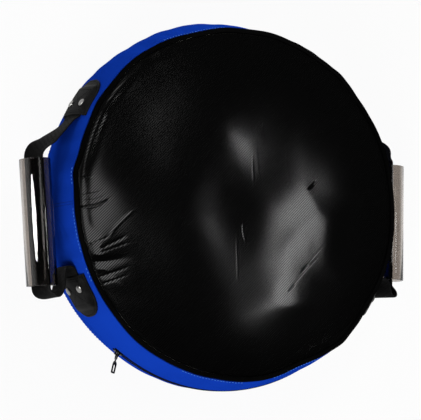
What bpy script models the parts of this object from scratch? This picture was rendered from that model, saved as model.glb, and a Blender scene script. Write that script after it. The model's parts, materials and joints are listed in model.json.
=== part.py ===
"""Round punching shield: a padded disc with a crowned black face, a blue side wall closed by a zip,
and a webbing handle with a clear tube grip on each side.

The shield lies on its back. +Z comes out of the striking face, +Y points to the top of the face and
+X to its right. The origin is the middle of the back's resting face. Lengths are in metres and
angles in radians. Positions of a handle are given in its own plane: reach is the distance out from
the line that the handle swings about, and y runs along that line.
"""

import math

import bmesh
import bpy
from mathutils import Matrix, Vector
from mathutils.geometry import interpolate_bezier

MM = 0.001

# Padded body
FACE_SEAM_RADIUS = 235 * MM
BACK_SEAM_RADIUS = 234 * MM
SEAM_HEIGHT = 120 * MM
WALL_BULGE = 12 * MM
FACE_CROWN = 12 * MM
FACE_CROWN_POWER = 2.6
FACE_RIM_RISE = 1 * MM
SKIN = 1.5 * MM
PIPING_DIAMETER = 6.4 * MM
PIPING_OVERHANG = 0.8 * MM
BACK_PIPING_LIFT = 0.6 * MM
FACE_FOAM_THICKNESS = 25 * MM
BACK_FOAM_THICKNESS = 25 * MM
FOAM_CORNER_RUN = 4.5 * MM
WALL_JOIN_ANGLE = math.radians(183)
TOUCH_GAP = 0.3 * MM
INSIDE_GAP = 1 * MM

# Zip in the lower wall
ZIP_HEIGHT = 60 * MM
ZIP_SLIDER_ANGLE = math.radians(233.2)
ZIP_END_ANGLE = math.radians(309.5)
TAPE_WIDTH = 16 * MM
TAPE_THICKNESS = 0.8 * MM
COIL_WIDTH = 2.7 * MM
COIL_DEPTH = 2.4 * MM
COIL_CORNER = 0.6 * MM
SLIDER_LENGTH = 12 * MM
SLIDER_WIDTH = 9 * MM
SLIDER_PLATE = 1.5 * MM
SLIDER_ROOM = 0.6 * MM
SLIDER_POST_LENGTH = 2.6 * MM
SLIDER_POST_WIDTH = 2.4 * MM
BRIDGE_LENGTH = 7 * MM
BRIDGE_WIDTH = 2 * MM
BRIDGE_BAR = 1.5 * MM
BRIDGE_ROOM = 2.2 * MM
SLIDER_ROUNDING = 0.5 * MM
PULL_LENGTH = 26 * MM
PULL_WIDTH = 7.4 * MM
PULL_THICKNESS = 1.3 * MM
PULL_HOLE_LENGTH = 9.5 * MM
PULL_HOLE_WIDTH = 3.6 * MM
PULL_RIM = 1.9 * MM
PULL_CORNER = 1.7 * MM
PULL_HOLE_CORNER = 1.7 * MM
PULL_WINDOW_CORNER = 0.5 * MM
PULL_HANG_ANGLE = math.radians(256.5)
PULL_TWIST = math.radians(60)
PULL_TWIST_STEPS = 8

# Handles
HANDLE_HEIGHT = 78 * MM
SWING_LINE_INSET = 14.5 * MM
WEBBING_WIDTH = 38 * MM
WEBBING = 2 * MM
STRAP_TAIL = 40 * MM
GRIP_LENGTH = 162 * MM
GRIP_DIAMETER = 40 * MM
GRIP_WALL = 3 * MM
GRIP_CHAMFER = 0.6 * MM
CURL_ROOM = 0.5 * MM
CURL_SLACK = math.radians(2)
MOUTH_ROOM = 2 * MM
UPPER_BOW = 20 * MM
UPPER_UNCURL = 30 * MM
LOWER_UNCURL = 14 * MM
SPLIT_REACH = 15 * MM
UNTWIST = 34 * MM
LEAVE_WALL = 10 * MM

# Inside the grips the webbing's front edge leans towards the wall. It starts to turn this far from it.
STRAP_LEAN = math.radians(26)
UPPER_ROLL_START = 10 * MM
LOWER_ROLL_START = 50 * MM

# The fold below each lower patch
FOLD_TOP = 8 * MM
FOLD_BOW = 9.6 * MM
FOLD_LEG_REACH = 6 * MM

# How each handle hangs. The grips have slid down the webbing, the left one further.
LEFT_GRIP_STANDOFF = 16.5 * MM
LEFT_GRIP_BELOW_MIDDLE = 36 * MM
LEFT_GRIP_LEAN = math.radians(4.6)
LEFT_TILT = math.radians(-3)
LEFT_LOOP_BOW = 17.5 * MM
LEFT_LEG_BELOW_PATCH = 2.3 * MM
RIGHT_GRIP_STANDOFF = 23.8 * MM
RIGHT_GRIP_BELOW_MIDDLE = 9.5 * MM
RIGHT_GRIP_LEAN = math.radians(1.5)
RIGHT_TILT = math.radians(34)
RIGHT_LOOP_BOW = 28.3 * MM
RIGHT_LEG_BELOW_PATCH = -3.7 * MM

# Patches and rivets
PATCH_EDGE_ANGLE = math.radians(25)
PATCH_LENGTH = 58 * MM
PATCH_WIDTH = 60 * MM
PATCH_STRAIGHT = 26 * MM
PATCH_TIP_POWER = 2.2
PATCH_TIP_BLUNTING = 0.3 * MM
PATCH_INNER_SHARE = 0.72
LEATHER = 2 * MM
DRAPE = 7 * MM
BACKING_LENGTH = 50 * MM
BACKING_WIDTH = 52 * MM
BACKING = 1.5 * MM
RIVET_SETBACK = 17 * MM
RIVET_SPACING = 27 * MM
RIVET_HEAD_DIAMETER = 10 * MM
RIVET_HEAD_HEIGHT = 1.8 * MM
RIVET_SHANK_DIAMETER = 4 * MM
RIVET_TAIL_DIAMETER = 6.6 * MM
RIVET_TAIL_HEIGHT = 1 * MM
RIVET_HEAD_EDGE = 0.4 * MM
WASHER_DIAMETER = 10 * MM
WASHER = 1 * MM
HOLE_CLEARANCE = 0.3 * MM
RECESS_ROOM = 1.5 * MM

# Fineness of the round shapes
ROUND_STEPS = 56
PIPING_SIDES = 8
WALL_ROWS = 8
FACE_ROWS = 5
ZIP_STEPS = 16
GRIP_STEPS = 28
RIVET_STEPS = 10
RIVET_DOME_STEPS = 2
HOLE_STEPS = 8
CORNER_STEPS = 4
STRAP_COLUMNS = 4
STRAP_STEP = 14 * MM
STRAP_TURN = math.radians(18)
STRAP_PROBE = 1 * MM
STRAP_HEADING_PROBE = 0.2 * MM
TAIL_POINTS = 12
BEND_POINTS = 28
PATCH_ROWS = 3
PATCH_TIP_ROWS = 4
BACKING_ROWS = 4
PATCH_INNER_COLUMNS = 4
PATCH_OUTER_COLUMNS = 2
MERGE = 0.01 * MM
SHARP_ANGLE = math.radians(35)
FLAT_CURL = math.radians(0.5)

PIPING_RADIUS = PIPING_DIAMETER / 2
BACK_PIPING_HEIGHT = PIPING_RADIUS + BACK_PIPING_LIFT
PATCH_LIFT = TOUCH_GAP + WEBBING + 2 * TOUCH_GAP
BACKING_LIFT = -SKIN - INSIDE_GAP - BACKING
WASHER_LIFT = BACKING_LIFT - TOUCH_GAP - WASHER
RIVET_TAIL_LIFT = WASHER_LIFT - TOUCH_GAP
TAPE_LIFT = -SKIN - INSIDE_GAP
COIL_LIFT = TAPE_LIFT + TOUCH_GAP
SLOT_HALF_WIDTH = COIL_WIDTH + 2 * TOUCH_GAP

FINISHES = {
    "black_face_vinyl": ((0.012, 0.012, 0.014), 0.28, 0.0),
    "black_back_vinyl": ((0.014, 0.014, 0.016), 0.45, 0.0),
    "black_piping": ((0.010, 0.010, 0.012), 0.35, 0.0),
    "blue_vinyl": ((0.008, 0.045, 0.36), 0.38, 0.0),
    "foam": ((0.55, 0.55, 0.52), 0.95, 0.0),
    "black_webbing": ((0.012, 0.012, 0.013), 0.8, 0.0),
    "black_leather": ((0.014, 0.014, 0.014), 0.5, 0.0),
    "smoky_plastic": ((0.45, 0.38, 0.35), 0.08, 0.0),
    "nickel": ((0.62, 0.62, 0.62), 0.3, 1.0),
    "zip_tape": ((0.012, 0.012, 0.013), 0.85, 0.0),
    "zip_coil": ((0.014, 0.014, 0.015), 0.4, 0.0),
    "black_enamel": ((0.014, 0.014, 0.015), 0.3, 0.6),
}


def finish(name):
    """The named surface finish, made once."""
    found = bpy.data.materials.get(name)
    if found:
        return found
    colour, roughness, metallic = FINISHES[name]
    made = bpy.data.materials.new(name)
    made.use_nodes = True
    shader = made.node_tree.nodes["Principled BSDF"]
    shader.inputs["Base Color"].default_value = (*colour, 1.0)
    shader.inputs["Roughness"].default_value = roughness
    shader.inputs["Metallic"].default_value = metallic
    made.diffuse_color = (*colour, 1.0)
    return made


def clear_scene():
    for old in list(bpy.data.objects):
        bpy.data.objects.remove(old, do_unlink=True)


def add_object(name, mesh, finish_name=None, smooth=True):
    """Turn a bmesh into an object. A piece with no finish is a cutter."""
    bmesh.ops.remove_doubles(mesh, verts=mesh.verts, dist=MERGE)
    bmesh.ops.recalc_face_normals(mesh, faces=mesh.faces)
    data = bpy.data.meshes.new(name)
    mesh.to_mesh(data)
    mesh.free()
    made = bpy.data.objects.new(name, data)
    bpy.context.scene.collection.objects.link(made)
    if finish_name:
        data.materials.append(finish(finish_name))
    else:
        made.hide_render = True
        made.display_type = "WIRE"
    if smooth:
        data.shade_smooth()
        data.set_sharp_from_angle(angle=SHARP_ANGLE)
    return made


def add_empty(name, place, turn=None):
    made = bpy.data.objects.new(name, None)
    made.matrix_world = Matrix.Translation(place) @ (turn or Matrix.Identity(4))
    bpy.context.scene.collection.objects.link(made)
    return made


def hang_on(piece, parent):
    """Parent a piece that is already where it belongs, and put its origin on the parent's."""
    shift = parent.matrix_world.inverted() @ piece.matrix_world
    piece.data.transform(shift)
    piece.parent = parent
    piece.matrix_world = parent.matrix_world


def cut(piece, cutter):
    step = piece.modifiers.new("cut_" + cutter.name, "BOOLEAN")
    step.operation = "DIFFERENCE"
    step.solver = "EXACT"
    step.object = cutter


def smooth_step(value):
    value = min(max(value, 0.0), 1.0)
    return value * value * (3 - 2 * value)


def turned(name, outline, finish_name=None, start=0.0, sweep=math.tau, steps=ROUND_STEPS):
    """Spin an outline of (radius, height) points about the shield's axis.

    An outline that starts and ends on the axis is left open. Any other is closed."""
    mesh = bmesh.new()
    points = [mesh.verts.new((r * math.cos(start), r * math.sin(start), z)) for r, z in outline]
    pairs = list(zip(points, points[1:]))
    if outline[0][0] > MERGE:
        pairs.append((points[-1], points[0]))
    edges = [mesh.edges.new(pair) for pair in pairs]
    full = sweep == math.tau
    bmesh.ops.spin(
        mesh, geom=points + edges, cent=(0, 0, 0), axis=(0, 0, 1), angle=sweep, steps=steps, use_merge=full
    )
    if not full:
        ends = [edge for edge in mesh.edges if edge.is_boundary]
        bmesh.ops.holes_fill(mesh, edges=ends, sides=len(outline))
    return add_object(name, mesh, finish_name)


def slab(name, bottom, top, finish_name=None):
    """A closed sheet between two grids of points with as many rows and columns."""
    mesh = bmesh.new()
    low = [[mesh.verts.new(point) for point in row] for row in bottom]
    high = [[mesh.verts.new(point) for point in row] for row in top]
    last_row = len(bottom) - 1
    last_column = len(bottom[0]) - 1
    for grid in (low, high):
        for i in range(last_row):
            for j in range(last_column):
                mesh.faces.new((grid[i][j], grid[i + 1][j], grid[i + 1][j + 1], grid[i][j + 1]))
    border = [(i, 0) for i in range(last_row)]
    border += [(last_row, j) for j in range(last_column)]
    border += [(i, last_column) for i in range(last_row, 0, -1)]
    border += [(0, j) for j in range(last_column, 0, -1)]
    for (a, b), (c, d) in zip(border, border[1:] + border[:1]):
        mesh.faces.new((low[a][b], low[c][d], high[c][d], high[a][b]))
    return add_object(name, mesh, finish_name)


def spread(low, high, count):
    return [low + (high - low) * i / count for i in range(count)] + [high]


# Padded body


def wall_radius(height):
    """The wall's outer radius: seam to seam, with the bulge that the filling gives it."""
    share = height / SEAM_HEIGHT
    seam = BACK_SEAM_RADIUS + (FACE_SEAM_RADIUS - BACK_SEAM_RADIUS) * share
    return seam + WALL_BULGE * math.sin(math.pi * share)


def wall_slope(height):
    step = MM
    return (wall_radius(height + step) - wall_radius(height - step)) / (2 * step)


def face_height(radius, edge_radius):
    """The height of the striking face's outer surface."""
    fall = (radius / edge_radius) ** FACE_CROWN_POWER
    return SEAM_HEIGHT + FACE_RIM_RISE + FACE_CROWN * (1 - fall)


def piping_centre_radius(seam_radius):
    return seam_radius - PIPING_RADIUS + PIPING_OVERHANG


def build_covers():
    """The three skins that are sewn round the filling, and the piping in their seams."""
    face_edge = piping_centre_radius(FACE_SEAM_RADIUS) - PIPING_RADIUS - TOUCH_GAP
    radii = spread(0, face_edge, FACE_ROWS)
    outer = [(r, face_height(r, face_edge)) for r in radii]
    inner = [(r, z - SKIN) for r, z in reversed(outer)]
    turned("face_panel", outer + inner, "black_face_vinyl")

    back_edge = piping_centre_radius(BACK_SEAM_RADIUS) - PIPING_RADIUS - TOUCH_GAP
    turned("back_panel", [(0, 0), (back_edge, 0), (back_edge, SKIN), (0, SKIN)], "black_back_vinyl")

    low = BACK_PIPING_HEIGHT + PIPING_RADIUS + TOUCH_GAP
    high = SEAM_HEIGHT - PIPING_RADIUS - TOUCH_GAP
    heights = spread(low, high, WALL_ROWS)
    outer = [(wall_radius(z), z) for z in heights]
    inner = [(r - SKIN, z) for r, z in reversed(outer)]
    join = TOUCH_GAP / wall_radius(SEAM_HEIGHT / 2)
    wall = turned("side_wall", outer + inner, "blue_vinyl", WALL_JOIN_ANGLE, math.tau - join)

    for name, seam_radius, height in (
        ("face_piping", FACE_SEAM_RADIUS, SEAM_HEIGHT),
        ("back_piping", BACK_SEAM_RADIUS, BACK_PIPING_HEIGHT),
    ):
        centre = piping_centre_radius(seam_radius)
        angles = [math.tau * i / PIPING_SIDES for i in range(PIPING_SIDES)]
        turns = [(PIPING_RADIUS * math.cos(a), PIPING_RADIUS * math.sin(a)) for a in angles]
        turned(name, [(centre + x, height + y) for x, y in turns], "black_piping")
    return wall


def foam_radius(height):
    return wall_radius(height) - SKIN - INSIDE_GAP


def build_foam():
    """Three layers of foam that fill the cover from the back panel to the face panel."""
    face_edge = piping_centre_radius(FACE_SEAM_RADIUS) - PIPING_RADIUS - 2 * TOUCH_GAP
    corner = PIPING_DIAMETER + TOUCH_GAP
    shoulder = corner - FOAM_CORNER_RUN
    base = SKIN + TOUCH_GAP
    back_edge = piping_centre_radius(BACK_SEAM_RADIUS) - PIPING_RADIUS - 2 * TOUCH_GAP
    back_top = base + BACK_FOAM_THICKNESS
    face_base = SEAM_HEIGHT - FACE_FOAM_THICKNESS

    heights = spread(BACK_PIPING_HEIGHT + corner, back_top, 2)
    side = [(foam_radius(z), z) for z in heights]
    low_edge = [(0, base), (back_edge, base), (back_edge, BACK_PIPING_HEIGHT + shoulder)]
    back = low_edge + side + [(0, back_top)]
    turned("back_foam", back, "foam", WALL_JOIN_ANGLE)

    heights = spread(back_top + TOUCH_GAP, face_base - TOUCH_GAP, WALL_ROWS // 2)
    side = [(foam_radius(z), z) for z in heights]
    middle = [(0, heights[0])] + side + [(0, heights[-1])]
    middle = turned("middle_foam", middle, "foam", WALL_JOIN_ANGLE)

    heights = spread(face_base, SEAM_HEIGHT - corner, 2)
    side = [(foam_radius(z), z) for z in heights] + [(face_edge, SEAM_HEIGHT - shoulder)]
    radii = spread(face_edge, 0, FACE_ROWS)
    crown_edge = face_edge + TOUCH_GAP
    crown = [(r, face_height(r, crown_edge) - SKIN - TOUCH_GAP) for r in radii]
    face = turned("face_foam", [(0, face_base)] + side + crown, "foam", WALL_JOIN_ANGLE)
    return middle, face


# Zip


def wall_band(name, low, high, inner_lift, outer_lift, start, end, rows, finish_name=None):
    """A band that follows the wall's bulge between two heights and two angles."""
    heights = spread(low, high, rows)
    outer = [(wall_radius(z) + outer_lift, z) for z in heights]
    inner = [(wall_radius(z) + inner_lift, z) for z in reversed(heights)]
    return turned(name, outer + inner, finish_name, start, end - start, ZIP_STEPS)


def build_zip(wall, middle_foam):
    radius = wall_radius(ZIP_HEIGHT)
    coil_start = ZIP_SLIDER_ANGLE - (SLIDER_LENGTH / 2 - SLIDER_POST_LENGTH - TOUCH_GAP) / radius
    slot_start = ZIP_SLIDER_ANGLE - (SLIDER_LENGTH / 2 + SLIDER_POST_LENGTH) / radius
    slot_end = ZIP_END_ANGLE + TOUCH_GAP / radius
    slot = wall_band(
        "zip_slot_cutter", ZIP_HEIGHT - SLOT_HALF_WIDTH, ZIP_HEIGHT + SLOT_HALF_WIDTH,
        -2 * SKIN, 2 * SKIN, slot_start, slot_end, 1,
    )
    cut(wall, slot)

    under_plate = under_plate_top() - SLIDER_PLATE
    tape_reach = TAPE_WIDTH + 2 * TOUCH_GAP
    recess = wall_band(
        "zip_recess_cutter", ZIP_HEIGHT - tape_reach, ZIP_HEIGHT + tape_reach,
        under_plate - TOUCH_GAP, SKIN, slot_start, slot_end + TOUCH_GAP / radius, 4,
    )
    cut(middle_foam, recess)

    for name, side in (("front", 1), ("rear", -1)):
        inner_edge = ZIP_HEIGHT + side * TOUCH_GAP / 2
        outer_edge = ZIP_HEIGHT + side * TAPE_WIDTH
        low, high = sorted((inner_edge, outer_edge))
        wall_band(
            "zip_tape_" + name, low, high, TAPE_LIFT - TAPE_THICKNESS, TAPE_LIFT,
            coil_start, ZIP_END_ANGLE, 3, "zip_tape",
        )
        outer_edge = inner_edge + side * COIL_WIDTH
        low, high = sorted((inner_edge, outer_edge))
        top = radius + COIL_LIFT + COIL_DEPTH
        section = [
            (wall_radius(low) + COIL_LIFT, low), (top - COIL_CORNER, low), (top, low + COIL_CORNER),
            (top, high - COIL_CORNER), (top - COIL_CORNER, high), (wall_radius(high) + COIL_LIFT, high),
        ]
        turned("zip_coil_" + name, section, "zip_coil", coil_start, ZIP_END_ANGLE - coil_start, ZIP_STEPS)

    run = add_empty("zip_run_axis", Vector((0, 0, ZIP_HEIGHT)), Matrix.Rotation(ZIP_SLIDER_ANGLE, 4, "Z"))
    build_slider(run, radius)
    build_pull(run, radius)


def box(mesh, low, high):
    """Add a box between two corners to a bmesh."""
    size = Vector(high) - Vector(low)
    middle = (Vector(high) + Vector(low)) / 2
    place = Matrix.Translation(middle) @ Matrix.Diagonal(size.to_4d())
    bmesh.ops.create_cube(mesh, size=1, matrix=place)


def slope_room():
    """How far the wall's slope lifts or drops it under the slider's edge."""
    return abs(wall_slope(ZIP_HEIGHT)) * SLIDER_WIDTH / 2


def upper_plate_base():
    return COIL_LIFT + COIL_DEPTH + TOUCH_GAP + slope_room()


def under_plate_top():
    return TAPE_LIFT - TAPE_THICKNESS - SLIDER_ROOM - slope_room()


def pull_axis_lift():
    return upper_plate_base() + SLIDER_PLATE + BRIDGE_ROOM / 2


def slider_frame(run, radius):
    """Local x runs along the zip, y across it and z out of the wall, from the wall's surface."""
    along_out = Matrix(((0, 0, 1, radius), (1, 0, 0, 0), (0, 1, 0, 0), (0, 0, 0, 1)))
    return run.matrix_world @ along_out


def build_slider(run, radius):
    """Two plates joined by a post at the nose, and the bridge that holds the pull."""
    half = SLIDER_LENGTH / 2
    half_width = SLIDER_WIDTH / 2
    top_base = upper_plate_base()
    top = top_base + SLIDER_PLATE
    under_top = under_plate_top()
    plates = bmesh.new()
    box(plates, (-half, -half_width, top_base), (half, half_width, top))
    slider = add_object("zip_slider", plates, "black_enamel", smooth=False)
    bevel = slider.modifiers.new("rounded", "BEVEL")
    bevel.width = SLIDER_ROUNDING
    bevel.segments = 2

    bridge_half = BRIDGE_LENGTH / 2
    bar_base = top + BRIDGE_ROOM
    joined = (
        ("under_plate", (-half, -half_width, under_top - SLIDER_PLATE), (half, half_width, under_top)),
        ("post", (-half, -SLIDER_POST_WIDTH / 2, under_top - SLIDER_PLATE / 2),
         (-half + SLIDER_POST_LENGTH, SLIDER_POST_WIDTH / 2, top - SLIDER_PLATE / 2)),
        ("nose_leg", (-bridge_half, -BRIDGE_WIDTH / 2, top - SLIDER_PLATE / 2),
         (-bridge_half + BRIDGE_BAR, BRIDGE_WIDTH / 2, bar_base + BRIDGE_BAR / 2)),
        ("tail_leg", (bridge_half - BRIDGE_BAR, -BRIDGE_WIDTH / 2, top - SLIDER_PLATE / 2),
         (bridge_half, BRIDGE_WIDTH / 2, bar_base + BRIDGE_BAR / 2)),
        ("bridge_bar", (-bridge_half, -BRIDGE_WIDTH / 2, bar_base),
         (bridge_half, BRIDGE_WIDTH / 2, bar_base + BRIDGE_BAR)),
    )
    slider.matrix_world = slider_frame(run, radius)
    for name, low, high in joined:
        piece = bmesh.new()
        box(piece, low, high)
        part = add_object("slider_" + name, piece, smooth=False)
        part.matrix_world = slider.matrix_world
        union = slider.modifiers.new("join_" + name, "BOOLEAN")
        union.operation = "UNION"
        union.solver = "EXACT"
        union.object = part
    hang_on(slider, run)


def rounded_plate(mesh, start, end, half_width, corner, thickness):
    """Add a plate along x with rounded corners, as thick each side of z = 0."""
    outline = []
    for centre_x, centre_y, first in (
        (end - corner, half_width - corner, 0), (start + corner, half_width - corner, 1),
        (start + corner, corner - half_width, 2), (end - corner, corner - half_width, 3),
    ):
        for angle in spread(first * math.pi / 2, (first + 1) * math.pi / 2, CORNER_STEPS):
            outline.append((centre_x + corner * math.cos(angle), centre_y + corner * math.sin(angle)))
    bottom = [mesh.verts.new((x, y, -thickness / 2)) for x, y in outline]
    face = mesh.faces.new(bottom)
    raised = bmesh.ops.extrude_face_region(mesh, geom=[face])
    lifted = [item for item in raised["geom"] if isinstance(item, bmesh.types.BMVert)]
    bmesh.ops.translate(mesh, verts=lifted, vec=(0, 0, thickness))


def twist(mesh, start, end):
    """Turn what lies beyond start about the x axis, smoothly up to the full twist at end."""
    for x in spread(start, end, PULL_TWIST_STEPS):
        everything = mesh.verts[:] + mesh.edges[:] + mesh.faces[:]
        bmesh.ops.bisect_plane(mesh, geom=everything, plane_co=(x, 0, 0), plane_no=(1, 0, 0))
    strips = [face for face in mesh.faces if start < face.calc_center_median().x < end]
    bmesh.ops.triangulate(mesh, faces=strips)
    for vert in mesh.verts:
        angle = PULL_TWIST * smooth_step((vert.co.x - start) / (end - start))
        vert.co = Matrix.Rotation(angle, 3, "X") @ vert.co


def build_pull(run, radius):
    """The pull: a twisted plate with a window round the bridge and an oval hole at its far end."""
    bar = PULL_THICKNESS / 2
    half_width = PULL_WIDTH / 2
    bridge_corner = math.hypot(BRIDGE_LENGTH / 2, BRIDGE_ROOM / 2 + BRIDGE_BAR)
    window_end = bridge_corner + TOUCH_GAP
    window_half = BRIDGE_WIDTH / 2 + TOUCH_GAP
    hole_end = PULL_LENGTH - PULL_RIM
    hole_start = hole_end - PULL_HOLE_LENGTH
    twist_start = window_end + PULL_RIM / 2
    twist_end = hole_start - PULL_RIM / 2
    plate = bmesh.new()
    rounded_plate(plate, -bar, PULL_LENGTH, half_width, PULL_CORNER, PULL_THICKNESS)
    twist(plate, twist_start, twist_end)
    pull = add_object("zip_pull", plate, "black_enamel")

    depth = 2 * PULL_THICKNESS
    cutter = bmesh.new()
    rounded_plate(cutter, bar, window_end, window_half, PULL_WINDOW_CORNER, depth)
    rounded_plate(cutter, hole_start, hole_end, PULL_HOLE_WIDTH / 2, PULL_HOLE_CORNER, depth)
    twist(cutter, twist_start, twist_end)
    holes = add_object("pull_hole_cutter", cutter)

    axis_radius = radius + pull_axis_lift()
    place = Vector((
        axis_radius * math.cos(ZIP_SLIDER_ANGLE), axis_radius * math.sin(ZIP_SLIDER_ANGLE), ZIP_HEIGHT,
    ))
    hang = Matrix.Rotation(PULL_HANG_ANGLE, 4, "Z") @ Matrix.Rotation(math.pi / 2, 4, "X")
    hinge = add_empty("zip_pull_axis", place, hang)
    for piece in (pull, holes):
        piece.matrix_world = hinge.matrix_world
    cut(pull, holes)
    shift = run.matrix_world.inverted() @ hinge.matrix_world
    hinge.parent = run
    hinge.matrix_world = run.matrix_world @ shift
    pull.parent = hinge
    pull.matrix_world = hinge.matrix_world


# Handles


def swing_line_radius():
    return wall_radius(SEAM_HEIGHT / 2) - SWING_LINE_INSET


def curl_in_bore():
    """Half the angle that the webbing curls through in a grip, and how far its middle is off the axis.

    Its edges rest on the bore on the side away from the shield, and its middle bends towards it."""
    bore = GRIP_DIAMETER / 2 - GRIP_WALL - CURL_ROOM
    angle = CURL_SLACK
    while (WEBBING_WIDTH / 2 / angle + WEBBING / 2) * math.sin(angle) > bore:
        angle += CURL_SLACK / 2
    angle += CURL_SLACK
    bend = WEBBING_WIDTH / 2 / angle
    outside = bend + WEBBING / 2
    centre = outside * math.cos(angle) + math.sqrt(bore**2 - (outside * math.sin(angle)) ** 2)
    return angle, bend - centre


class Handle:
    """One side's handle. side is -1 for the left one and 1 for the right one."""

    def __init__(self, name, side, grip_standoff, grip_below_middle, lean, tilt, loop_bow, leg_below_patch):
        self.name = name
        self.side = side
        self.grip_reach = GRIP_DIAMETER / 2 + grip_standoff
        self.grip_y = -grip_below_middle
        self.lean = lean
        self.tilt = tilt
        self.loop_bow = loop_bow
        self.leg_below_patch = leg_below_patch

    def place(self, reach, y, across=0.0, tilt=None):
        """A point of the handle's plane, moved across the webbing."""
        tilt = self.tilt if tilt is None else tilt
        x = swing_line_radius() + reach * math.cos(tilt) + across * math.sin(tilt)
        z = HANDLE_HEIGHT - reach * math.sin(tilt) + across * math.cos(tilt)
        return Vector((self.side * x, y, z))

    def on_wall(self, angle, height, lift):
        """A point over the wall, with the angle counted from the handle's middle."""
        radius = wall_radius(height) + lift
        return Vector((self.side * radius * math.cos(angle), radius * math.sin(angle), height))

    def grip_end(self, up):
        """The middle of the grip's upper (1) or lower (-1) mouth, as reach and y."""
        half = up * GRIP_LENGTH / 2
        middle = Vector((self.grip_reach, self.grip_y))
        return middle + half * Vector((math.sin(self.lean), math.cos(self.lean)))

    def strap_route(self):
        """The webbing's middle line from the upper tail to the lower one, as (reach, y) points.

        Gives the points and the numbers of the points where it leaves the upper patch, enters the
        grip, leaves the grip, and lies on the wall again."""
        radius = wall_radius(HANDLE_HEIGHT) + TOUCH_GAP + WEBBING / 2
        tail_end = PATCH_EDGE_ANGLE + STRAP_TAIL / radius

        def wall_spot(angle):
            return Vector((radius * math.cos(angle) - swing_line_radius(), radius * math.sin(angle)))

        def bend(*points, count=BEND_POINTS):
            return [p.to_2d() for p in interpolate_bezier(*[p.to_3d() for p in points], count)]

        along = Vector((-math.sin(self.lean), -math.cos(self.lean)))
        inward = Vector((-curl_in_bore()[1], 0))
        top = self.grip_end(1) + inward - MOUTH_ROOM * along
        bottom = self.grip_end(-1) + inward + MOUTH_ROOM * along

        upper_tail = [wall_spot(angle) for angle in spread(tail_end, PATCH_EDGE_ANGLE, TAIL_POINTS)]
        root = upper_tail[-1]
        off_wall = Vector((math.sin(PATCH_EDGE_ANGLE), -math.cos(PATCH_EDGE_ANGLE)))
        upper = bend(root, root + UPPER_BOW * off_wall, top - UPPER_BOW * along, top)

        leg = Vector((FOLD_LEG_REACH, wall_spot(-PATCH_EDGE_ANGLE).y - self.leg_below_patch))
        loop_floor = bottom.y - self.loop_bow
        loop = bend(bottom, bottom + self.loop_bow * along, Vector((leg.x, loop_floor)), leg)

        fold_angle = PATCH_EDGE_ANGLE - FOLD_TOP / radius
        landing = wall_spot(-fold_angle)
        down_wall = Vector((-math.sin(fold_angle), -math.cos(fold_angle)))
        fold_ceiling = landing.y + FOLD_TOP
        fold = bend(leg, Vector((leg.x, fold_ceiling)), landing - FOLD_BOW * down_wall, landing)
        lower_tail = [wall_spot(-angle) for angle in spread(fold_angle, tail_end, TAIL_POINTS)]

        inside = spread(top, bottom, TAIL_POINTS)
        route = upper_tail + upper[1:] + inside[1:] + loop[1:] + fold[1:] + lower_tail[1:]
        leaves_patch = TAIL_POINTS
        enters = leaves_patch + BEND_POINTS - 1
        leaves = enters + TAIL_POINTS
        lands = leaves + 2 * (BEND_POINTS - 1)
        return route, (leaves_patch, enters, leaves, lands)


def lengths_along(points):
    total = [0.0]
    for a, b in zip(points, points[1:]):
        total.append(total[-1] + (b - a).length)
    return total


def spot_at(points, total, distance):
    for i in range(1, len(points)):
        if total[i] >= distance:
            share = (distance - total[i - 1]) / (total[i] - total[i - 1])
            return points[i - 1].lerp(points[i], share)
    return points[-1].copy()


def stations(points, total, start, end):
    """Distances along a route: closer together where it turns."""
    chosen = [start]
    here = start
    direction = None
    while here + STRAP_PROBE < end:
        heading = spot_at(points, total, here + STRAP_PROBE) - spot_at(points, total, here)
        direction = direction or heading
        here += STRAP_PROBE
        if direction.angle(heading) > STRAP_TURN or here - chosen[-1] > STRAP_STEP:
            chosen.append(here)
            direction = heading
    if end - chosen[-1] < STRAP_PROBE and len(chosen) > 1:
        chosen.pop()
    return chosen + [end]


def strap_row(handle, route, total, marks, distance):
    """The lower and upper points across the webbing at one place along it."""
    here = spot_at(route, total, distance)
    before = spot_at(route, total, max(distance - STRAP_HEADING_PROBE, 0))
    after = spot_at(route, total, min(distance + STRAP_HEADING_PROBE, total[-1]))
    heading = (after - before).normalized()
    normal = Vector((-heading.y, heading.x))
    leaves_patch, enters, leaves, lands = (total[mark] for mark in marks)
    if distance < (enters + leaves) / 2:
        off_wall = distance - leaves_patch
        free_length = enters - leaves_patch
        uncurled = (enters - distance) / UPPER_UNCURL
        roll_start = UPPER_ROLL_START
    else:
        off_wall = lands - distance
        free_length = lands - leaves
        uncurled = (distance - leaves) / LOWER_UNCURL
        roll_start = LOWER_ROLL_START
    flat = 1 - smooth_step(off_wall / LEAVE_WALL)
    tilt = handle.tilt * smooth_step(off_wall / UNTWIST)
    rolled = smooth_step((off_wall - roll_start) / (free_length - roll_start))
    roll = (handle.tilt + STRAP_LEAN) * rolled
    curl_angle, curl_offset = curl_in_bore()
    curl = max(curl_angle * (1 - smooth_step(uncurled)), FLAT_CURL)
    bend = WEBBING_WIDTH / 2 / curl
    middle_wall = wall_radius(HANDLE_HEIGHT)
    low, high = [], []
    for v in spread(-WEBBING_WIDTH / 2, WEBBING_WIDTH / 2, STRAP_COLUMNS):
        angle = v / bend
        wall_slant = math.atan(wall_slope(HANDLE_HEIGHT + v))
        across = flat * v + (1 - flat) * bend * math.sin(angle)
        bulge = wall_radius(HANDLE_HEIGHT + v) - middle_wall
        out = flat * bulge + (1 - flat) * bend * (1 - math.cos(angle))
        slant = flat * wall_slant + (1 - flat) * angle
        for side, points in ((-1, low), (1, high)):
            a = across - side * WEBBING / 2 * math.sin(slant)
            o = out + side * WEBBING / 2 * math.cos(slant) - curl_offset
            spot = here + (o * math.cos(roll) - a * math.sin(roll) + curl_offset) * normal
            turned = a * math.cos(roll) + o * math.sin(roll)
            points.append(handle.place(spot.x, spot.y, across=turned, tilt=tilt))
    return low, high


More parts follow.
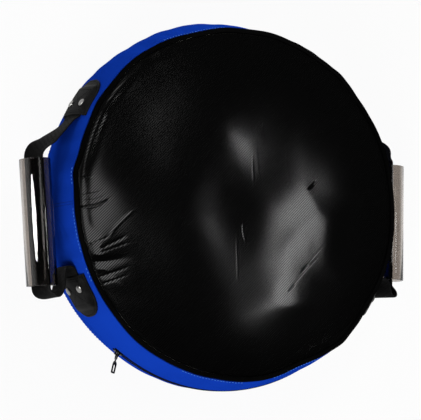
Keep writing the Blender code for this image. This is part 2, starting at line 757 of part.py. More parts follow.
def strap_piece(handle, name, route, total, marks, start, end):
    stops = [start] + [total[mark] for mark in marks if start < total[mark] < end] + [end]
    chosen = [start]
    for a, b in zip(stops, stops[1:]):
        chosen += stations(route, total, a, b)[1:]
    rows = [strap_row(handle, route, total, marks, distance) for distance in chosen]
    return slab(name, [low for low, _ in rows], [high for _, high in rows], "black_webbing")


def patch_half_width(along):
    """Half the patch's width, at a distance from its straight edge."""
    if along <= PATCH_STRAIGHT:
        return PATCH_WIDTH / 2
    share = (along - PATCH_STRAIGHT) / (PATCH_LENGTH - PATCH_STRAIGHT)
    return PATCH_WIDTH / 2 * (1 - share**PATCH_TIP_POWER) ** (1 / PATCH_TIP_POWER)


def patch_rise(along, across):
    """How far the leather is lifted where the webbing's tail lies under it."""
    beside = (abs(across) - WEBBING_WIDTH / 2 - TOUCH_GAP) / DRAPE
    beyond = (along - STRAP_TAIL - LEATHER) / DRAPE
    return (PATCH_LIFT - TOUCH_GAP) * (1 - smooth_step(beside)) * (1 - smooth_step(beyond))


def patch_columns(half):
    """Places across a patch, with one on each edge of the webbing under it."""
    inner = min(WEBBING_WIDTH / 2 + TOUCH_GAP, half * PATCH_INNER_SHARE)
    left = spread(-half, -inner, PATCH_OUTER_COLUMNS)
    middle = spread(-inner, inner, PATCH_INNER_COLUMNS)
    right = spread(inner, half, PATCH_OUTER_COLUMNS)
    return left + middle[1:] + right[1:]


def wall_sheet(handle, up, name, rows, width_at, low_lift, high_lift, finish_name=None):
    """A sheet over the wall, with rows at the given distances from the patch's straight edge."""
    radius = wall_radius(HANDLE_HEIGHT)
    grids = ([], [])
    for along in rows:
        half = width_at(along)
        angle = PATCH_EDGE_ANGLE + along / radius
        for grid, lift in zip(grids, (low_lift, high_lift)):
            row = []
            for across in patch_columns(half):
                row.append(handle.on_wall(up * angle, HANDLE_HEIGHT + across, lift(along, across)))
            grid.append(row)
    return slab(name, grids[0], grids[1], finish_name)


def lathe_outline(outline, steps):
    """A bmesh of a closed outline of (radius, height) points spun about z."""
    mesh = bmesh.new()
    points = [mesh.verts.new((r, 0, z)) for r, z in outline]
    pairs = list(zip(points, points[1:]))
    if outline[0][0] > MERGE:
        pairs.append((points[-1], points[0]))
    edges = [mesh.edges.new(pair) for pair in pairs]
    bmesh.ops.spin(
        mesh, geom=points + edges, cent=(0, 0, 0), axis=(0, 0, 1), angle=math.tau, steps=steps, use_merge=True
    )
    return mesh


def wall_frame(handle, angle, height):
    """A frame on the wall's outer surface with z square out of it."""
    spot = handle.on_wall(angle, height, 0)
    slope = wall_slope(height)
    out = Vector((handle.side * math.cos(angle), math.sin(angle), -slope)).normalized()
    return Matrix.Translation(spot) @ out.to_track_quat("Z", "Y").to_matrix().to_4x4()


def build_rivets(handle, up, label):
    """Rivets with their washers, and the cutter for their holes."""
    head_base = PATCH_LIFT + LEATHER + TOUCH_GAP
    head_radius = RIVET_HEAD_DIAMETER / 2
    shank = RIVET_SHANK_DIAMETER / 2
    tail = RIVET_TAIL_DIAMETER / 2
    dome_base = head_base + RIVET_HEAD_EDGE
    dome_height = RIVET_HEAD_HEIGHT - RIVET_HEAD_EDGE
    rivet_outline = [
        (0, RIVET_TAIL_LIFT - RIVET_TAIL_HEIGHT), (tail, RIVET_TAIL_LIFT - RIVET_TAIL_HEIGHT),
        (tail, RIVET_TAIL_LIFT), (shank, RIVET_TAIL_LIFT), (shank, head_base), (head_radius, head_base),
    ]
    for angle in spread(0, math.pi / 2, RIVET_DOME_STEPS)[:-1]:
        rivet_outline.append((head_radius * math.cos(angle), dome_base + dome_height * math.sin(angle)))
    rivet_outline.append((0, dome_base + dome_height))
    hole = shank + HOLE_CLEARANCE
    washer_outline = [
        (hole, WASHER_LIFT), (WASHER_DIAMETER / 2, WASHER_LIFT),
        (WASHER_DIAMETER / 2, WASHER_LIFT + WASHER), (hole, WASHER_LIFT + WASHER),
    ]
    angle = up * (PATCH_EDGE_ANGLE + RIVET_SETBACK / wall_radius(HANDLE_HEIGHT))
    cutters = bmesh.new()
    reach = head_base + HOLE_CLEARANCE
    for end, side in (("front", 1), ("rear", -1)):
        frame = wall_frame(handle, angle, HANDLE_HEIGHT + side * RIVET_SPACING / 2)
        rivet = add_object(f"rivet_{label}_{end}", lathe_outline(rivet_outline, RIVET_STEPS), "nickel")
        washer = add_object(f"washer_{label}_{end}", lathe_outline(washer_outline, RIVET_STEPS), "nickel")
        for piece in (rivet, washer):
            piece.matrix_world = frame
        bmesh.ops.create_cone(
            cutters, cap_ends=True, segments=HOLE_STEPS, radius1=hole, radius2=hole, depth=2 * reach,
            matrix=frame,
        )
    return add_object(f"rivet_hole_cutter_{label}", cutters)


def build_anchor(handle, up, strap_end, wall, foams):
    """A patch, its backing inside the wall, and the rivets through the webbing's tail."""
    label = f"{handle.name}_{'upper' if up > 0 else 'lower'}"
    tail_cover = STRAP_TAIL + LEATHER
    tip = PATCH_LENGTH - PATCH_TIP_BLUNTING - tail_cover
    rows = spread(0, tail_cover, PATCH_ROWS)
    rows += [tail_cover + tip * math.sin(a) for a in spread(0, math.pi / 2, PATCH_TIP_ROWS)[1:]]
    patch = wall_sheet(
        handle, up, "patch_" + label, rows, patch_half_width,
        lambda along, across: TOUCH_GAP + patch_rise(along, across),
        lambda along, across: TOUCH_GAP + patch_rise(along, across) + LEATHER,
        "black_leather",
    )
    backing = wall_sheet(
        handle, up, "backing_" + label, spread(0, BACKING_LENGTH, BACKING_ROWS),
        lambda along: BACKING_WIDTH / 2,
        lambda along, across: BACKING_LIFT, lambda along, across: BACKING_LIFT + BACKING, "black_leather",
    )
    holes = build_rivets(handle, up, label)
    for piece in (patch, backing, strap_end, wall):
        cut(piece, holes)
    depth = RIVET_TAIL_LIFT - RIVET_TAIL_HEIGHT - RECESS_ROOM
    recess = wall_sheet(
        handle, up, "recess_cutter_" + label, spread(-RECESS_ROOM, BACKING_LENGTH + RECESS_ROOM, 2),
        lambda along: BACKING_WIDTH / 2 + RECESS_ROOM,
        lambda along, across: depth, lambda along, across: SKIN,
    )
    for foam in foams:
        cut(foam, recess)


def build_grip(handle, swing):
    """The clear tube that the webbing runs through."""
    outer = GRIP_DIAMETER / 2
    bore = outer - GRIP_WALL
    half = GRIP_LENGTH / 2
    outline = [
        (bore, -half), (outer - GRIP_CHAMFER, -half), (outer, -half + GRIP_CHAMFER),
        (outer, half - GRIP_CHAMFER), (outer - GRIP_CHAMFER, half), (bore, half),
    ]
    grip = add_object("grip_tube_" + handle.name, lathe_outline(outline, GRIP_STEPS), "smoky_plastic")
    middle = handle.place(handle.grip_reach, handle.grip_y)
    tip = handle.grip_end(1)
    axis = handle.place(tip.x, tip.y) - middle
    grip.parent = swing
    grip.matrix_world = Matrix.Translation(middle) @ axis.to_track_quat("Z", "Y").to_matrix().to_4x4()


def build_handle(handle, wall, foams):
    route, marks = handle.strap_route()
    total = lengths_along(route)
    leaves_patch, enters, leaves, lands = marks
    upper_split = next(total[i] for i in range(leaves_patch, enters) if route[i].x > SPLIT_REACH)
    lowest = min(range(leaves, lands), key=lambda i: route[i].y)
    lower_split = total[lowest]
    half_gap = TOUCH_GAP / 2
    upper_end = strap_piece(
        handle, f"strap_{handle.name}_upper_end", route, total, marks, 0, upper_split - half_gap
    )
    middle = strap_piece(
        handle, f"strap_{handle.name}_middle", route, total, marks,
        upper_split + half_gap, lower_split - half_gap,
    )
    lower_end = strap_piece(
        handle, f"strap_{handle.name}_lower_end", route, total, marks, lower_split + half_gap, total[-1]
    )
    swing = add_empty(
        f"handle_{handle.name}_swing_axis", Vector((handle.side * swing_line_radius(), 0, HANDLE_HEIGHT))
    )
    hang_on(middle, swing)
    build_grip(handle, swing)
    build_anchor(handle, 1, upper_end, wall, foams)
    build_anchor(handle, -1, lower_end, wall, foams)


def handles():
    left = Handle(
        "left", -1, LEFT_GRIP_STANDOFF, LEFT_GRIP_BELOW_MIDDLE, LEFT_GRIP_LEAN, LEFT_TILT,
        LEFT_LOOP_BOW, LEFT_LEG_BELOW_PATCH,
    )
    right = Handle(
        "right", 1, RIGHT_GRIP_STANDOFF, RIGHT_GRIP_BELOW_MIDDLE, RIGHT_GRIP_LEAN, RIGHT_TILT,
        RIGHT_LOOP_BOW, RIGHT_LEG_BELOW_PATCH,
    )
    return left, right


def main():
    clear_scene()
    wall = build_covers()
    foams = build_foam()
    build_zip(wall, foams[0])
    for handle in handles():
        build_handle(handle, wall, foams)


main()
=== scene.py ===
# %% [markdown]
# # A round punching shield
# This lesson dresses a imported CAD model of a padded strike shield: a black face with a woven
# look, a blue side wall with a zip, and a webbing handle in a clear tube on each side.
# The shield lies on its back, so +Z comes out of the face and +Y points to its top.

# %% Setup
import json
import math

import bmesh
import bpy
import numpy as np
from mathutils import Matrix, Vector
from mathutils.geometry import interpolate_bezier

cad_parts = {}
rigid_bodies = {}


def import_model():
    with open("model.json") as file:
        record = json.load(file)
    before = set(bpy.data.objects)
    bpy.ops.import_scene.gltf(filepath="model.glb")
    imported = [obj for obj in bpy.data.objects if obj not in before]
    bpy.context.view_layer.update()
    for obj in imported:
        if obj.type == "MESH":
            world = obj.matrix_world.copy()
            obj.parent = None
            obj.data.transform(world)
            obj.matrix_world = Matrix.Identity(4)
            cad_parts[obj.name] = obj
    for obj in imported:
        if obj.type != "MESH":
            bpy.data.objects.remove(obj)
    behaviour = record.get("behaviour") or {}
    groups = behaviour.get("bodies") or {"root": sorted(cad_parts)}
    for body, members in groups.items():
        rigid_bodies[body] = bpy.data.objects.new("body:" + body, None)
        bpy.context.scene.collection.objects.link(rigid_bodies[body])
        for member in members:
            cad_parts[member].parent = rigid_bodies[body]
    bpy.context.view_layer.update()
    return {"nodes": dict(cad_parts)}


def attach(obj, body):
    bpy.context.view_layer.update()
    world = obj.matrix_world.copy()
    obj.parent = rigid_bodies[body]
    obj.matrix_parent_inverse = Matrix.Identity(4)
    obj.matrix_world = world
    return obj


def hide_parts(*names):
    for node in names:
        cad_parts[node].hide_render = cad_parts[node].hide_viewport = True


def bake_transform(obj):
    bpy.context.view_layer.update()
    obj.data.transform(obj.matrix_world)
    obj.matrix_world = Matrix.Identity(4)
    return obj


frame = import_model()
MM = 0.001

# %% [markdown]
# ## Sizes
# The dressed pieces sit exactly where the CAD solids are, so the script repeats the sizes that
# place them. Everything else is measured off these with a few named gaps.

# %% Sizes of the body, handles, patches and zip
FACE_SEAM_RADIUS = 235 * MM
BACK_SEAM_RADIUS = 234 * MM
SEAM_HEIGHT = 120 * MM
WALL_BULGE = 12 * MM
FACE_CROWN = 12 * MM
FACE_RIM_RISE = 1 * MM
SKIN = 1.5 * MM
PIPING_RADIUS = 3.2 * MM
PIPING_OVERHANG = 0.8 * MM
BACK_PIPING_HEIGHT = 3.8 * MM
WALL_JOIN_ANGLE = math.radians(183)
GAP = 0.3 * MM
HANDLE_HEIGHT = 78 * MM
SWING_LINE_RADIUS = 232 * MM
WEBBING_WIDTH = 38 * MM
WEBBING = 2 * MM
STRAP_TAIL = 40 * MM
GRIP_LENGTH = 162 * MM
GRIP_RADIUS = 20 * MM
GRIP_WALL = 3 * MM
CURL_ANGLE = math.radians(63)
CURL_OFFSET = 6.34 * MM
MOUTH_ROOM = 2 * MM
PATCH_EDGE_ANGLE = math.radians(25)
PATCH_LENGTH = 58 * MM
PATCH_WIDTH = 60 * MM
PATCH_STRAIGHT = 26 * MM
LEATHER = 2 * MM
DRAPE = 7 * MM
PATCH_LIFT = 3 * GAP + WEBBING
RIVET_SETBACK = 17 * MM
RIVET_SPACING = 27 * MM
ZIP_HEIGHT = 60 * MM
ZIP_START = math.radians(233.2)
ZIP_END = math.radians(309.5)


def smooth_step(value):
    value = np.clip(value, 0.0, 1.0)
    return value * value * (3 - 2 * value)


def bell(value):
    return np.exp(-(value**2))


def off_turn(angle, middle):
    """How far an angle is from a middle one, from -180 to 180 degrees."""
    return (angle - middle + 180) % 360 - 180


def wall_radius(height):
    share = height / SEAM_HEIGHT
    seam = BACK_SEAM_RADIUS + (FACE_SEAM_RADIUS - BACK_SEAM_RADIUS) * share
    return seam + WALL_BULGE * np.sin(np.pi * share)


def wall_slope(height):
    return (wall_radius(height + MM) - wall_radius(height - MM)) / (2 * MM)


def piping_centre(seam_radius):
    return seam_radius - PIPING_RADIUS + PIPING_OVERHANG


# The face's seam isn't a true circle. Each stray: angle, half width (degrees), shift outward (mm).
SEAM_STRAYS = (
    (106, 13, -4.6), (87, 8, -2.6), (72, 6, -0.8), (50, 5, 1.6), (37, 6, -1.2), (134, 6, 1.2),
    (150, 4, 2.2), (173.5, 4, 3.2), (195, 9, -0.6), (232, 8, 1.6), (262, 9, -0.8), (292, 9, -4.8),
    (310, 4, 2.6), (327, 6, -2.2), (350, 8, 0.6), (5, 8, -0.8), (20, 7, 0.6),
)


def seam_shift(angle):
    """How far the face's seam lies outside its circle, for an array of angles."""
    shift = np.zeros_like(angle)
    for middle, width, out in SEAM_STRAYS:
        shift = shift + out * MM * bell(off_turn(np.degrees(angle), middle) / width)
    return shift


print("wall at the handles", round(float(wall_radius(HANDLE_HEIGHT)), 5))

# %% [markdown]
# ## A node maker
# Both materials and Geometry Nodes are trees of nodes. One small class wraps a socket so that
# plain Python arithmetic adds the Math nodes, and one method adds any other node: its settings
# first, because they change which sockets it has, and then its sockets.


# %% Socket arithmetic and the node maker
class Link:
    """An output socket that adds Math nodes when it is used in an expression."""

    def __init__(self, maker, socket):
        self.maker = maker
        self.socket = socket

    def math(self, operation, *others):
        return self.maker.node("ShaderNodeMath", {"operation": operation}, [self, *others])

    def __add__(self, other):
        return self.math("ADD", other)

    def __sub__(self, other):
        return self.math("SUBTRACT", other)

    def __rsub__(self, other):
        return self.maker.node("ShaderNodeMath", {"operation": "SUBTRACT"}, [other, self])

    def __mul__(self, other):
        return self.math("MULTIPLY", other)

    def __truediv__(self, other):
        return self.math("DIVIDE", other)

    def __rtruediv__(self, other):
        return self.maker.node("ShaderNodeMath", {"operation": "DIVIDE"}, [other, self])

    def __neg__(self):
        return self * -1.0

    __radd__ = __add__
    __rmul__ = __mul__


class Maker:
    """Adds nodes to one tree."""

    def __init__(self, tree):
        self.tree = tree

    def node(self, kind, settings=None, sockets=(), out=0):
        made = self.tree.nodes.new(kind)
        for name, value in (settings or {}).items():
            setattr(made, name, value)
        pairs = sockets.items() if isinstance(sockets, dict) else enumerate(sockets)
        for key, value in pairs:
            if isinstance(value, Link):
                self.tree.links.new(value.socket, made.inputs[key])
            elif value is not None:
                made.inputs[key].default_value = value
        return Link(self, made.outputs[out]) if len(made.outputs) else made

    def mix(self, share, first, second):
        """Mix two colours."""
        return self.node("ShaderNodeMix", {"data_type": "RGBA"}, {0: share, 6: first, 7: second}, 2)

    def ramp(self, value, low, high):
        """0 below low, 1 above high and smooth between them."""
        sockets = {"Value": value, "From Min": low, "From Max": high}
        return self.node("ShaderNodeMapRange", {"interpolation_type": "SMOOTHSTEP"}, sockets)

    def noise(self, place, scale, detail=2.0, roughness=0.5):
        sockets = {"Vector": place, "Scale": scale, "Detail": detail, "Roughness": roughness}
        return self.node("ShaderNodeTexNoise", {}, sockets)

    def object_place(self):
        """Where a point of the surface lies in its object's own frame."""
        return self.node("ShaderNodeTexCoord", out="Object")

    def split(self, vector):
        made = self.node("ShaderNodeSeparateXYZ", {}, [vector])
        return [Link(self, output) for output in made.socket.node.outputs]

    def join(self, x, y, z=0.0):
        return self.node("ShaderNodeCombineXYZ", {}, [x, y, z])

    def bump(self, height, distance, strength=1.0):
        sockets = {"Height": height, "Distance": distance, "Strength": strength}
        return self.node("ShaderNodeBump", {}, sockets)


def grey(level):
    return (level, level, level, 1.0)


def material(name, **fixed):
    """A new material, its maker, and a Principled shader with these fixed sockets."""
    made = bpy.data.materials.new(name)
    made.use_nodes = True
    made.node_tree.nodes.clear()
    maker = Maker(made.node_tree)
    sockets = {key.replace("_", " "): value for key, value in fixed.items()}
    shader = maker.node("ShaderNodeBsdfPrincipled", {}, sockets)
    maker.node("ShaderNodeOutputMaterial", {}, {"Surface": shader})
    return made, maker, shader.socket.node


def feed(maker, shader, **links):
    """Link what varies over the surface to the shader."""
    for key, value in links.items():
        maker.tree.links.new(value.socket, shader.inputs[key.replace("_", " ")])


def join_shaders(maker, share, first, second):
    """Show the first shader where share is 0 and the second where it is 1."""
    joined = maker.node("ShaderNodeMixShader", {}, {0: share, 1: first, 2: second})
    output = next(node for node in maker.tree.nodes if node.type == "OUTPUT_MATERIAL")
    maker.tree.links.new(joined.socket, output.inputs["Surface"])


print("node maker ready")

# %% [markdown]
# ## Black vinyl with a woven look
# The striking face is coated vinyl, pressed to look like a 2/2 twill: each thread passes over two
# and under two, and the step moves on by one in every row, which draws the diagonal lines. A few
# Math nodes find which thread is on top, and its rounded height drives a Bump node. The warp is
# glossy and the weft is matt, so a Mix Shader joins two shaders by the thread that is on top. Creases
# that are finer than the mesh are dips in the same height.


# %% Twill height and the face's material
def twill(maker, x, y, thread):
    """The height of a 2/2 twill, 0 to 1, with threads along x and y, and where the warp is on top."""
    across = x / thread
    along = y / thread
    turn = ((across.math("FLOOR") - along.math("FLOOR")) / 4).math("FRACT")
    warp_on_top = turn.math("LESS_THAN", 0.5)
    warp = (across * math.pi).math("SINE").math("ABSOLUTE")
    weft = (along * math.pi).math("SINE").math("ABSOLUTE")
    return warp_on_top * warp + (1 - warp_on_top) * weft * 0.75, warp_on_top


TWILL_THREAD = 0.9 * MM
TWILL_DEPTH = 0.004
GLOSS_ENDS = 224.5 * MM
MATT_STARTS = 228 * MM
# The relief is counted in mm. Each fine crease: x, y, turn (degrees), half length, half width, depth
# and bend.
FINE_CREASES = (
    (-221, 20, 9, 8, 1.1, 0.5, 0), (-211, -16, 15, 19, 1.3, 1.2, 2.5), (-211, -18, 15, 15, 0.9, -0.3, 2.5),
    (-215, -1, 13, 15, 1.0, 0.25, 1), (-211, -8, 14, 15, 0.8, 0.2, 2), (-185, -62, 26, 17, 2.2, 0.5, 0),
    (-203, -60, 23, 15, 1.4, 0.25, 0), (-185, -69, 20, 20, 1.8, 0.3, 0), (-182, -99, 20, 19, 2.0, 0.25, 0),
    (-182, -109, 20, 17, 1.5, 0.15, 0), (-174, -35, 46, 21, 1.8, -0.3, -2), (19, 64, -86, 28, 1.5, 0.07, 1),
    (28, 93, -76, 11, 1.6, 0.15, 2), (13, 44, -88, 17, 1.3, 0.08, 0), (64, 46, -81, 22, 1.3, 0.05, 2),
    (102, 27, 45, 7, 1.4, 0.5, 1), (-2, -40, -82, 12, 1.5, 0.09, 1.5), (-11, -72, -88, 30, 1.5, 0.04, 0),
    (100, -73, 49, 36, 1.2, 0.03, 0), (91, -88, 47, 38, 1.2, 0.03, 0), (90, -84, 45, 6, 1.4, 0.25, 0),
    (70, -111, 45, 6, 1.4, 0.25, 0),
)


def crease(maker, place, x, y, turn, half_length, half_width, bend):
    """1 on a crease's line and 0 beside it and past its ends."""
    local = maker.node("ShaderNodeMapping", {"vector_type": "TEXTURE"}, {
        "Vector": place, "Location": (x * MM, y * MM, 0), "Rotation": (0, 0, math.radians(turn)),
        "Scale": (half_length * MM, half_width * MM, 1),
    })
    along, across, _ = maker.split(local)
    squared = along * along
    off = across - squared * (bend / half_width)
    return (-(squared * squared + off * off)).math("EXPONENT")


face_vinyl, maker, matt = material("face_vinyl", Roughness=0.5, Specular_IOR_Level=0.05)
glossy = maker.node("ShaderNodeBsdfPrincipled", {}, {"Roughness": 0.1, "IOR": 1.7})
place = maker.object_place()
x, y, _ = maker.split(place)
from_middle = (x * x + y * y).math("SQRT")
off_rim = 1 - maker.ramp(from_middle, GLOSS_ENDS, MATT_STARTS)
weave, warp_on_top = twill(maker, x, y, TWILL_THREAD)
scuff = maker.noise(place, 9.0, 5.0, 0.6)
dust = maker.noise(place, 60.0, 4.0, 0.65)
tone = maker.mix(weave, grey(0.0002), grey(0.0005))
height = weave * TWILL_DEPTH
for x_mm, y_mm, turn, half_length, half_width, depth, bend in FINE_CREASES:
    height = height - crease(maker, place, x_mm, y_mm, turn, half_length, half_width, bend) * depth
relief = maker.bump(height, 1 * MM, 1.0)
dusty = maker.mix(maker.ramp(dust, 0.62, 0.8) * 0.3, tone, grey(0.002))
for shader in (matt, glossy.socket.node):
    feed(maker, shader, Base_Color=dusty, Normal=relief)
gloss_share = off_rim * (0.02 + (0.82 + 0.16 * maker.ramp(scuff, 0.3, 0.75)) * warp_on_top)
join_shaders(maker, gloss_share, Link(maker, matt.outputs[0]), glossy)
print("face_vinyl nodes", len(face_vinyl.node_tree.nodes))

# %% [markdown]
# ## Smooth and grained vinyl
# The blue wall, the piping and the back share one build: a base colour that drifts a little, a fine
# pressed grain from a Voronoi texture, and soft pinches from noise. A function makes all three, with
# the colours, the gloss and the depth of the grain as its settings.


# %% Grained vinyl
def grained_vinyl(name, dark, light, gloss, grain, pinch=0.25, shine=0.12):
    made, maker, shader = material(name, Specular_IOR_Level=shine)
    place = maker.object_place()
    cells = maker.node("ShaderNodeTexVoronoi", {}, {"Vector": place, "Scale": 900.0})
    drift = maker.noise(place, 7.0, 3.0)
    folds = maker.noise(place, 38.0, 3.0, 0.55)
    feed(
        maker, shader,
        Base_Color=maker.mix(maker.ramp(drift, 0.25, 0.75), dark, light),
        Roughness=gloss + 0.10 * drift + 0.06 * cells,
        Normal=maker.bump(cells * grain + folds * pinch, 0.5 * MM, 0.35),
    )
    return made


blue_vinyl = grained_vinyl(
    "blue_vinyl", (0.0044, 0.036, 0.36, 1), (0.0054, 0.043, 0.41, 1), 0.5, 0.10, shine=0.0
)
piping_vinyl = grained_vinyl("piping_vinyl", grey(0.0015), grey(0.003), 0.6, 0.05, 0.08, shine=0.0)
back_vinyl = grained_vinyl("back_vinyl", grey(0.004), grey(0.008), 0.42, 0.12, 0.1)
print("vinyls made")

# %% [markdown]
# ## Webbing, leather and thread
# Webbing is a narrow woven tape. Its pattern follows the strap, so it reads a UV map whose first
# direction runs along the tape in metres and whose second runs across it. Leather has an uneven
# grain of small cells with wider creases over them, and the creases are a little lighter.

# %% Webbing, leather and thread
webbing, maker, shader = material(
    "webbing", Sheen_Weight=0.03, Sheen_Roughness=0.5, Specular_IOR_Level=0.04
)
uv = maker.node("ShaderNodeUVMap", {"uv_map": "weave"})
u, v, _ = maker.split(uv)
rib, _ = twill(maker, u + v * 0.5, v, 1.5 * MM)
edge = maker.ramp(v.math("ABSOLUTE"), 15.5 * MM, 16.5 * MM)
fuzz = maker.noise(maker.join(u, v), 900.0, 3.0)
feed(
    maker, shader,
    Base_Color=maker.mix(rib * 0.7 + fuzz * 0.3, grey(0.001), grey(0.0045)),
    Roughness=0.72 + 0.15 * fuzz,
    Normal=maker.bump(rib + fuzz * 0.25 - edge * 0.4, 0.35 * MM, 0.8),
)

leather, maker, shader = material("leather", Specular_IOR_Level=0.04)
place = maker.object_place()
pores = maker.node("ShaderNodeTexVoronoi", {"feature": "SMOOTH_F1"}, {"Vector": place, "Scale": 750.0})
creases = maker.noise(place, 90.0, 5.0, 0.6)
feed(
    maker, shader,
    Base_Color=maker.mix(maker.ramp(creases, 0.35, 0.75), grey(0.003), grey(0.010)),
    Roughness=0.44 + 0.18 * creases,
    Normal=maker.bump(pores * 0.5 + creases, 0.3 * MM, 0.7),
)


def grained(name, dark, light, noise, depth, strength=1.0, gloss=None, **fixed):
    """A material whose colour and relief follow one noise, and its gloss too where two values are given."""
    made, maker, shader = material(name, **fixed)
    grain = maker.noise(maker.object_place(), *noise)
    feed(maker, shader, Base_Color=maker.mix(grain, dark, light), Normal=maker.bump(grain, depth, strength))
    if gloss:
        least, more = gloss
        feed(maker, shader, Roughness=least + more * grain)
    return made


def shaded(colour, share):
    return tuple(part * share for part in colour[:3]) + (1,)


def thread_material(name, colour):
    dark = shaded(colour, 0.55)
    return grained(name, dark, colour, (2500.0, 1.0), 0.1 * MM, Roughness=0.6, Specular_IOR_Level=0.04)


black_thread = thread_material("black_thread", grey(0.001))
blue_thread = thread_material("blue_thread", (0.10, 0.31, 1.0, 1))
join_thread = thread_material("join_thread", (0.002, 0.013, 0.14, 1))
print("webbing, leather and threads made")

# %% [markdown]
# ## Smoky plastic, metals and zip parts
# The grips are thick clear tubes with a smoky tint. Transmission with a tinted base colour gives the
# tint each time the light crosses a wall, and a faint haze varies the gloss. Rivets are plated, so
# they are fully metallic. Zip tape, zip coil and foam are plain surfaces with a fine grain.

# %% Plastic, metal, zip and foam
smoky_plastic, maker, shader = material(
    "smoky_plastic", Transmission_Weight=1.0, IOR=1.46, Specular_IOR_Level=0.5
)
haze = maker.noise(maker.object_place(), 30.0, 4.0, 0.6)
feed(
    maker, shader,
    Base_Color=maker.mix(maker.ramp(haze, 0.3, 0.8), (0.49, 0.452, 0.42, 1), (0.46, 0.425, 0.395, 1)),
    Roughness=0.01 + 0.02 * maker.ramp(haze, 0.5, 0.8),
)


def metal(name, colour, gloss):
    dark = shaded(colour, 0.7)
    return grained(name, dark, colour, (420.0, 4.0, 0.6), 0.05 * MM, 0.5, (gloss, 0.2), Metallic=1.0)


def plain(name, dark, light, scale, gloss, depth):
    noise = (scale, 3.0, 0.6)
    return grained(name, dark, light, noise, depth, 0.7, (gloss, 0.1), Specular_IOR_Level=0.02)


nickel = metal("nickel", (0.30, 0.295, 0.285, 1), 0.28)
black_enamel = metal("black_enamel", (0.012, 0.012, 0.013, 1), 0.3)
zip_tape = plain("zip_tape", grey(0.002), grey(0.007), 1400.0, 0.75, 0.2 * MM)
zip_coil = plain("zip_coil", grey(0.002), grey(0.007), 800.0, 0.35, 0.05 * MM)
foam = plain("foam", (0.42, 0.41, 0.36, 1), (0.6, 0.59, 0.55, 1), 500.0, 0.85, 0.5 * MM)
print("all materials", len(bpy.data.materials))

# %% [markdown]
# ## Mesh helpers
# Most pieces are grids of points that a formula places. One helper closes the space between a lower
# and an upper grid into a thin shell, and one spins an outline into a solid. Another turns modifiers
# into a plain mesh, because the export works on final meshes. The last one puts a piece on the body
# it rides on and hides the CAD nodes that it stands for.


# %% Mesh helpers
def new_object(name, data, finish):
    made = bpy.data.objects.new(name, data)
    bpy.context.scene.collection.objects.link(made)
    data.materials.clear()
    data.materials.append(finish)
    return made


def from_lists(name, points, faces, finish, uv=None, sharp=40):
    """A smooth-shaded object from points and faces. uv gives each point's place in the weave."""
    data = bpy.data.meshes.new(name)
    data.from_pydata([tuple(p) for p in points], [], faces)
    if uv is not None:
        layer = data.uv_layers.new(name="weave")
        for loop in data.loops:
            layer.data[loop.index].uv = uv[loop.vertex_index]
    data.shade_smooth()
    data.set_sharp_from_angle(angle=math.radians(sharp))
    data.validate()
    return new_object(name, data, finish)


def solid(*parts, **settings):
    """The same for a closed body, with its faces turned outward."""
    made = from_lists(*parts, **settings)
    work = bmesh.new()
    work.from_mesh(made.data)
    bmesh.ops.recalc_face_normals(work, faces=work.faces)
    work.to_mesh(made.data)
    work.free()
    return made


def grid_faces(rows, columns, close_rows=False, close_columns=False):
    """Faces of a grid of points, row by row. Closing joins the last row or column to the first."""
    faces = []
    for i in range(rows if close_rows else rows - 1):
        here, there = i * columns, (i + 1) % rows * columns
        for j in range(columns if close_columns else columns - 1):
            k = (j + 1) % columns
            faces.append((here + j, there + j, there + k, here + k))
    return faces


def turned_over(faces, first=0):
    """The same faces seen from behind, for points that are numbered from first on."""
    return [(first + a, first + d, first + c, first + b) for a, b, c, d in faces]


def shell(name, low, high, finish, closed=False, uv=None, sharp=40):
    """Close the space between two grids of points. closed joins the last column to the first."""
    low, high = np.asarray(low, float), np.asarray(high, float)
    rows, columns = low.shape[:2]
    points = np.concatenate([low.reshape(-1, 3), high.reshape(-1, 3)])
    top = rows * columns
    sheet = grid_faces(rows, columns, close_columns=closed)
    faces = sheet + turned_over(sheet, top)
    for j in range(columns if closed else columns - 1):
        k = (j + 1) % columns
        last = (rows - 1) * columns
        faces += [(j, k, top + k, top + j), (last + k, last + j, top + last + j, top + last + k)]
    if not closed:
        for i in range(rows - 1):
            a, b = i * columns, (i + 1) * columns
            c, d = a + columns - 1, b + columns - 1
            faces += [(b, a, top + a, top + b), (c, d, top + d, top + c)]
    if uv is not None:
        uv = [tuple(pair) for pair in np.asarray(uv).reshape(-1, 2)] * 2
    return solid(name, points, faces, finish, uv, sharp)


def settle(made):
    """Turn an object's modifiers into its plain mesh."""
    bpy.context.view_layer.update()
    graph = bpy.context.evaluated_depsgraph_get()
    data = bpy.data.meshes.new_from_object(made.evaluated_get(graph))
    made.modifiers.clear()
    made.data = data
    return made


def thicken(made):
    """Subdivide a sheet once, give it the skin's thickness downwards, and make it plain."""
    step = made.modifiers.new("smooth", "SUBSURF")
    step.levels = step.render_levels = 1
    step = made.modifiers.new("thickness", "SOLIDIFY")
    step.thickness = SKIN
    step.offset = -1
    return settle(made)


def around(radius, angle, height):
    """Points at these radii, angles and heights. Arrays of them stretch to fit each other."""
    radius, angle, height = np.broadcast_arrays(radius, angle, height)
    return np.stack([radius * np.cos(angle), radius * np.sin(angle), height], axis=-1)


def full_turn(steps):
    return np.linspace(0, math.tau, steps, endpoint=False)


def spin(name, outline, finish, steps=120, sharp=40):
    """A solid turned from (radius, height) points that start and end on the axis."""
    rings = len(outline) - 2
    radii, heights = np.array(outline[1:-1]).T[:, :, None]
    sides = around(radii, full_turn(steps), heights).reshape(-1, 3)
    points = [(0, 0, outline[0][1]), *sides, (0, 0, outline[-1][1])]
    last = 1 + (rings - 1) * steps
    faces = [(0, 1 + (j + 1) % steps, 1 + j) for j in range(steps)]
    faces += turned_over(grid_faces(rings, steps, close_columns=True), 1)
    faces += [(last + j, last + (j + 1) % steps, len(points) - 1) for j in range(steps)]
    return solid(name, points, faces, finish, sharp=sharp)


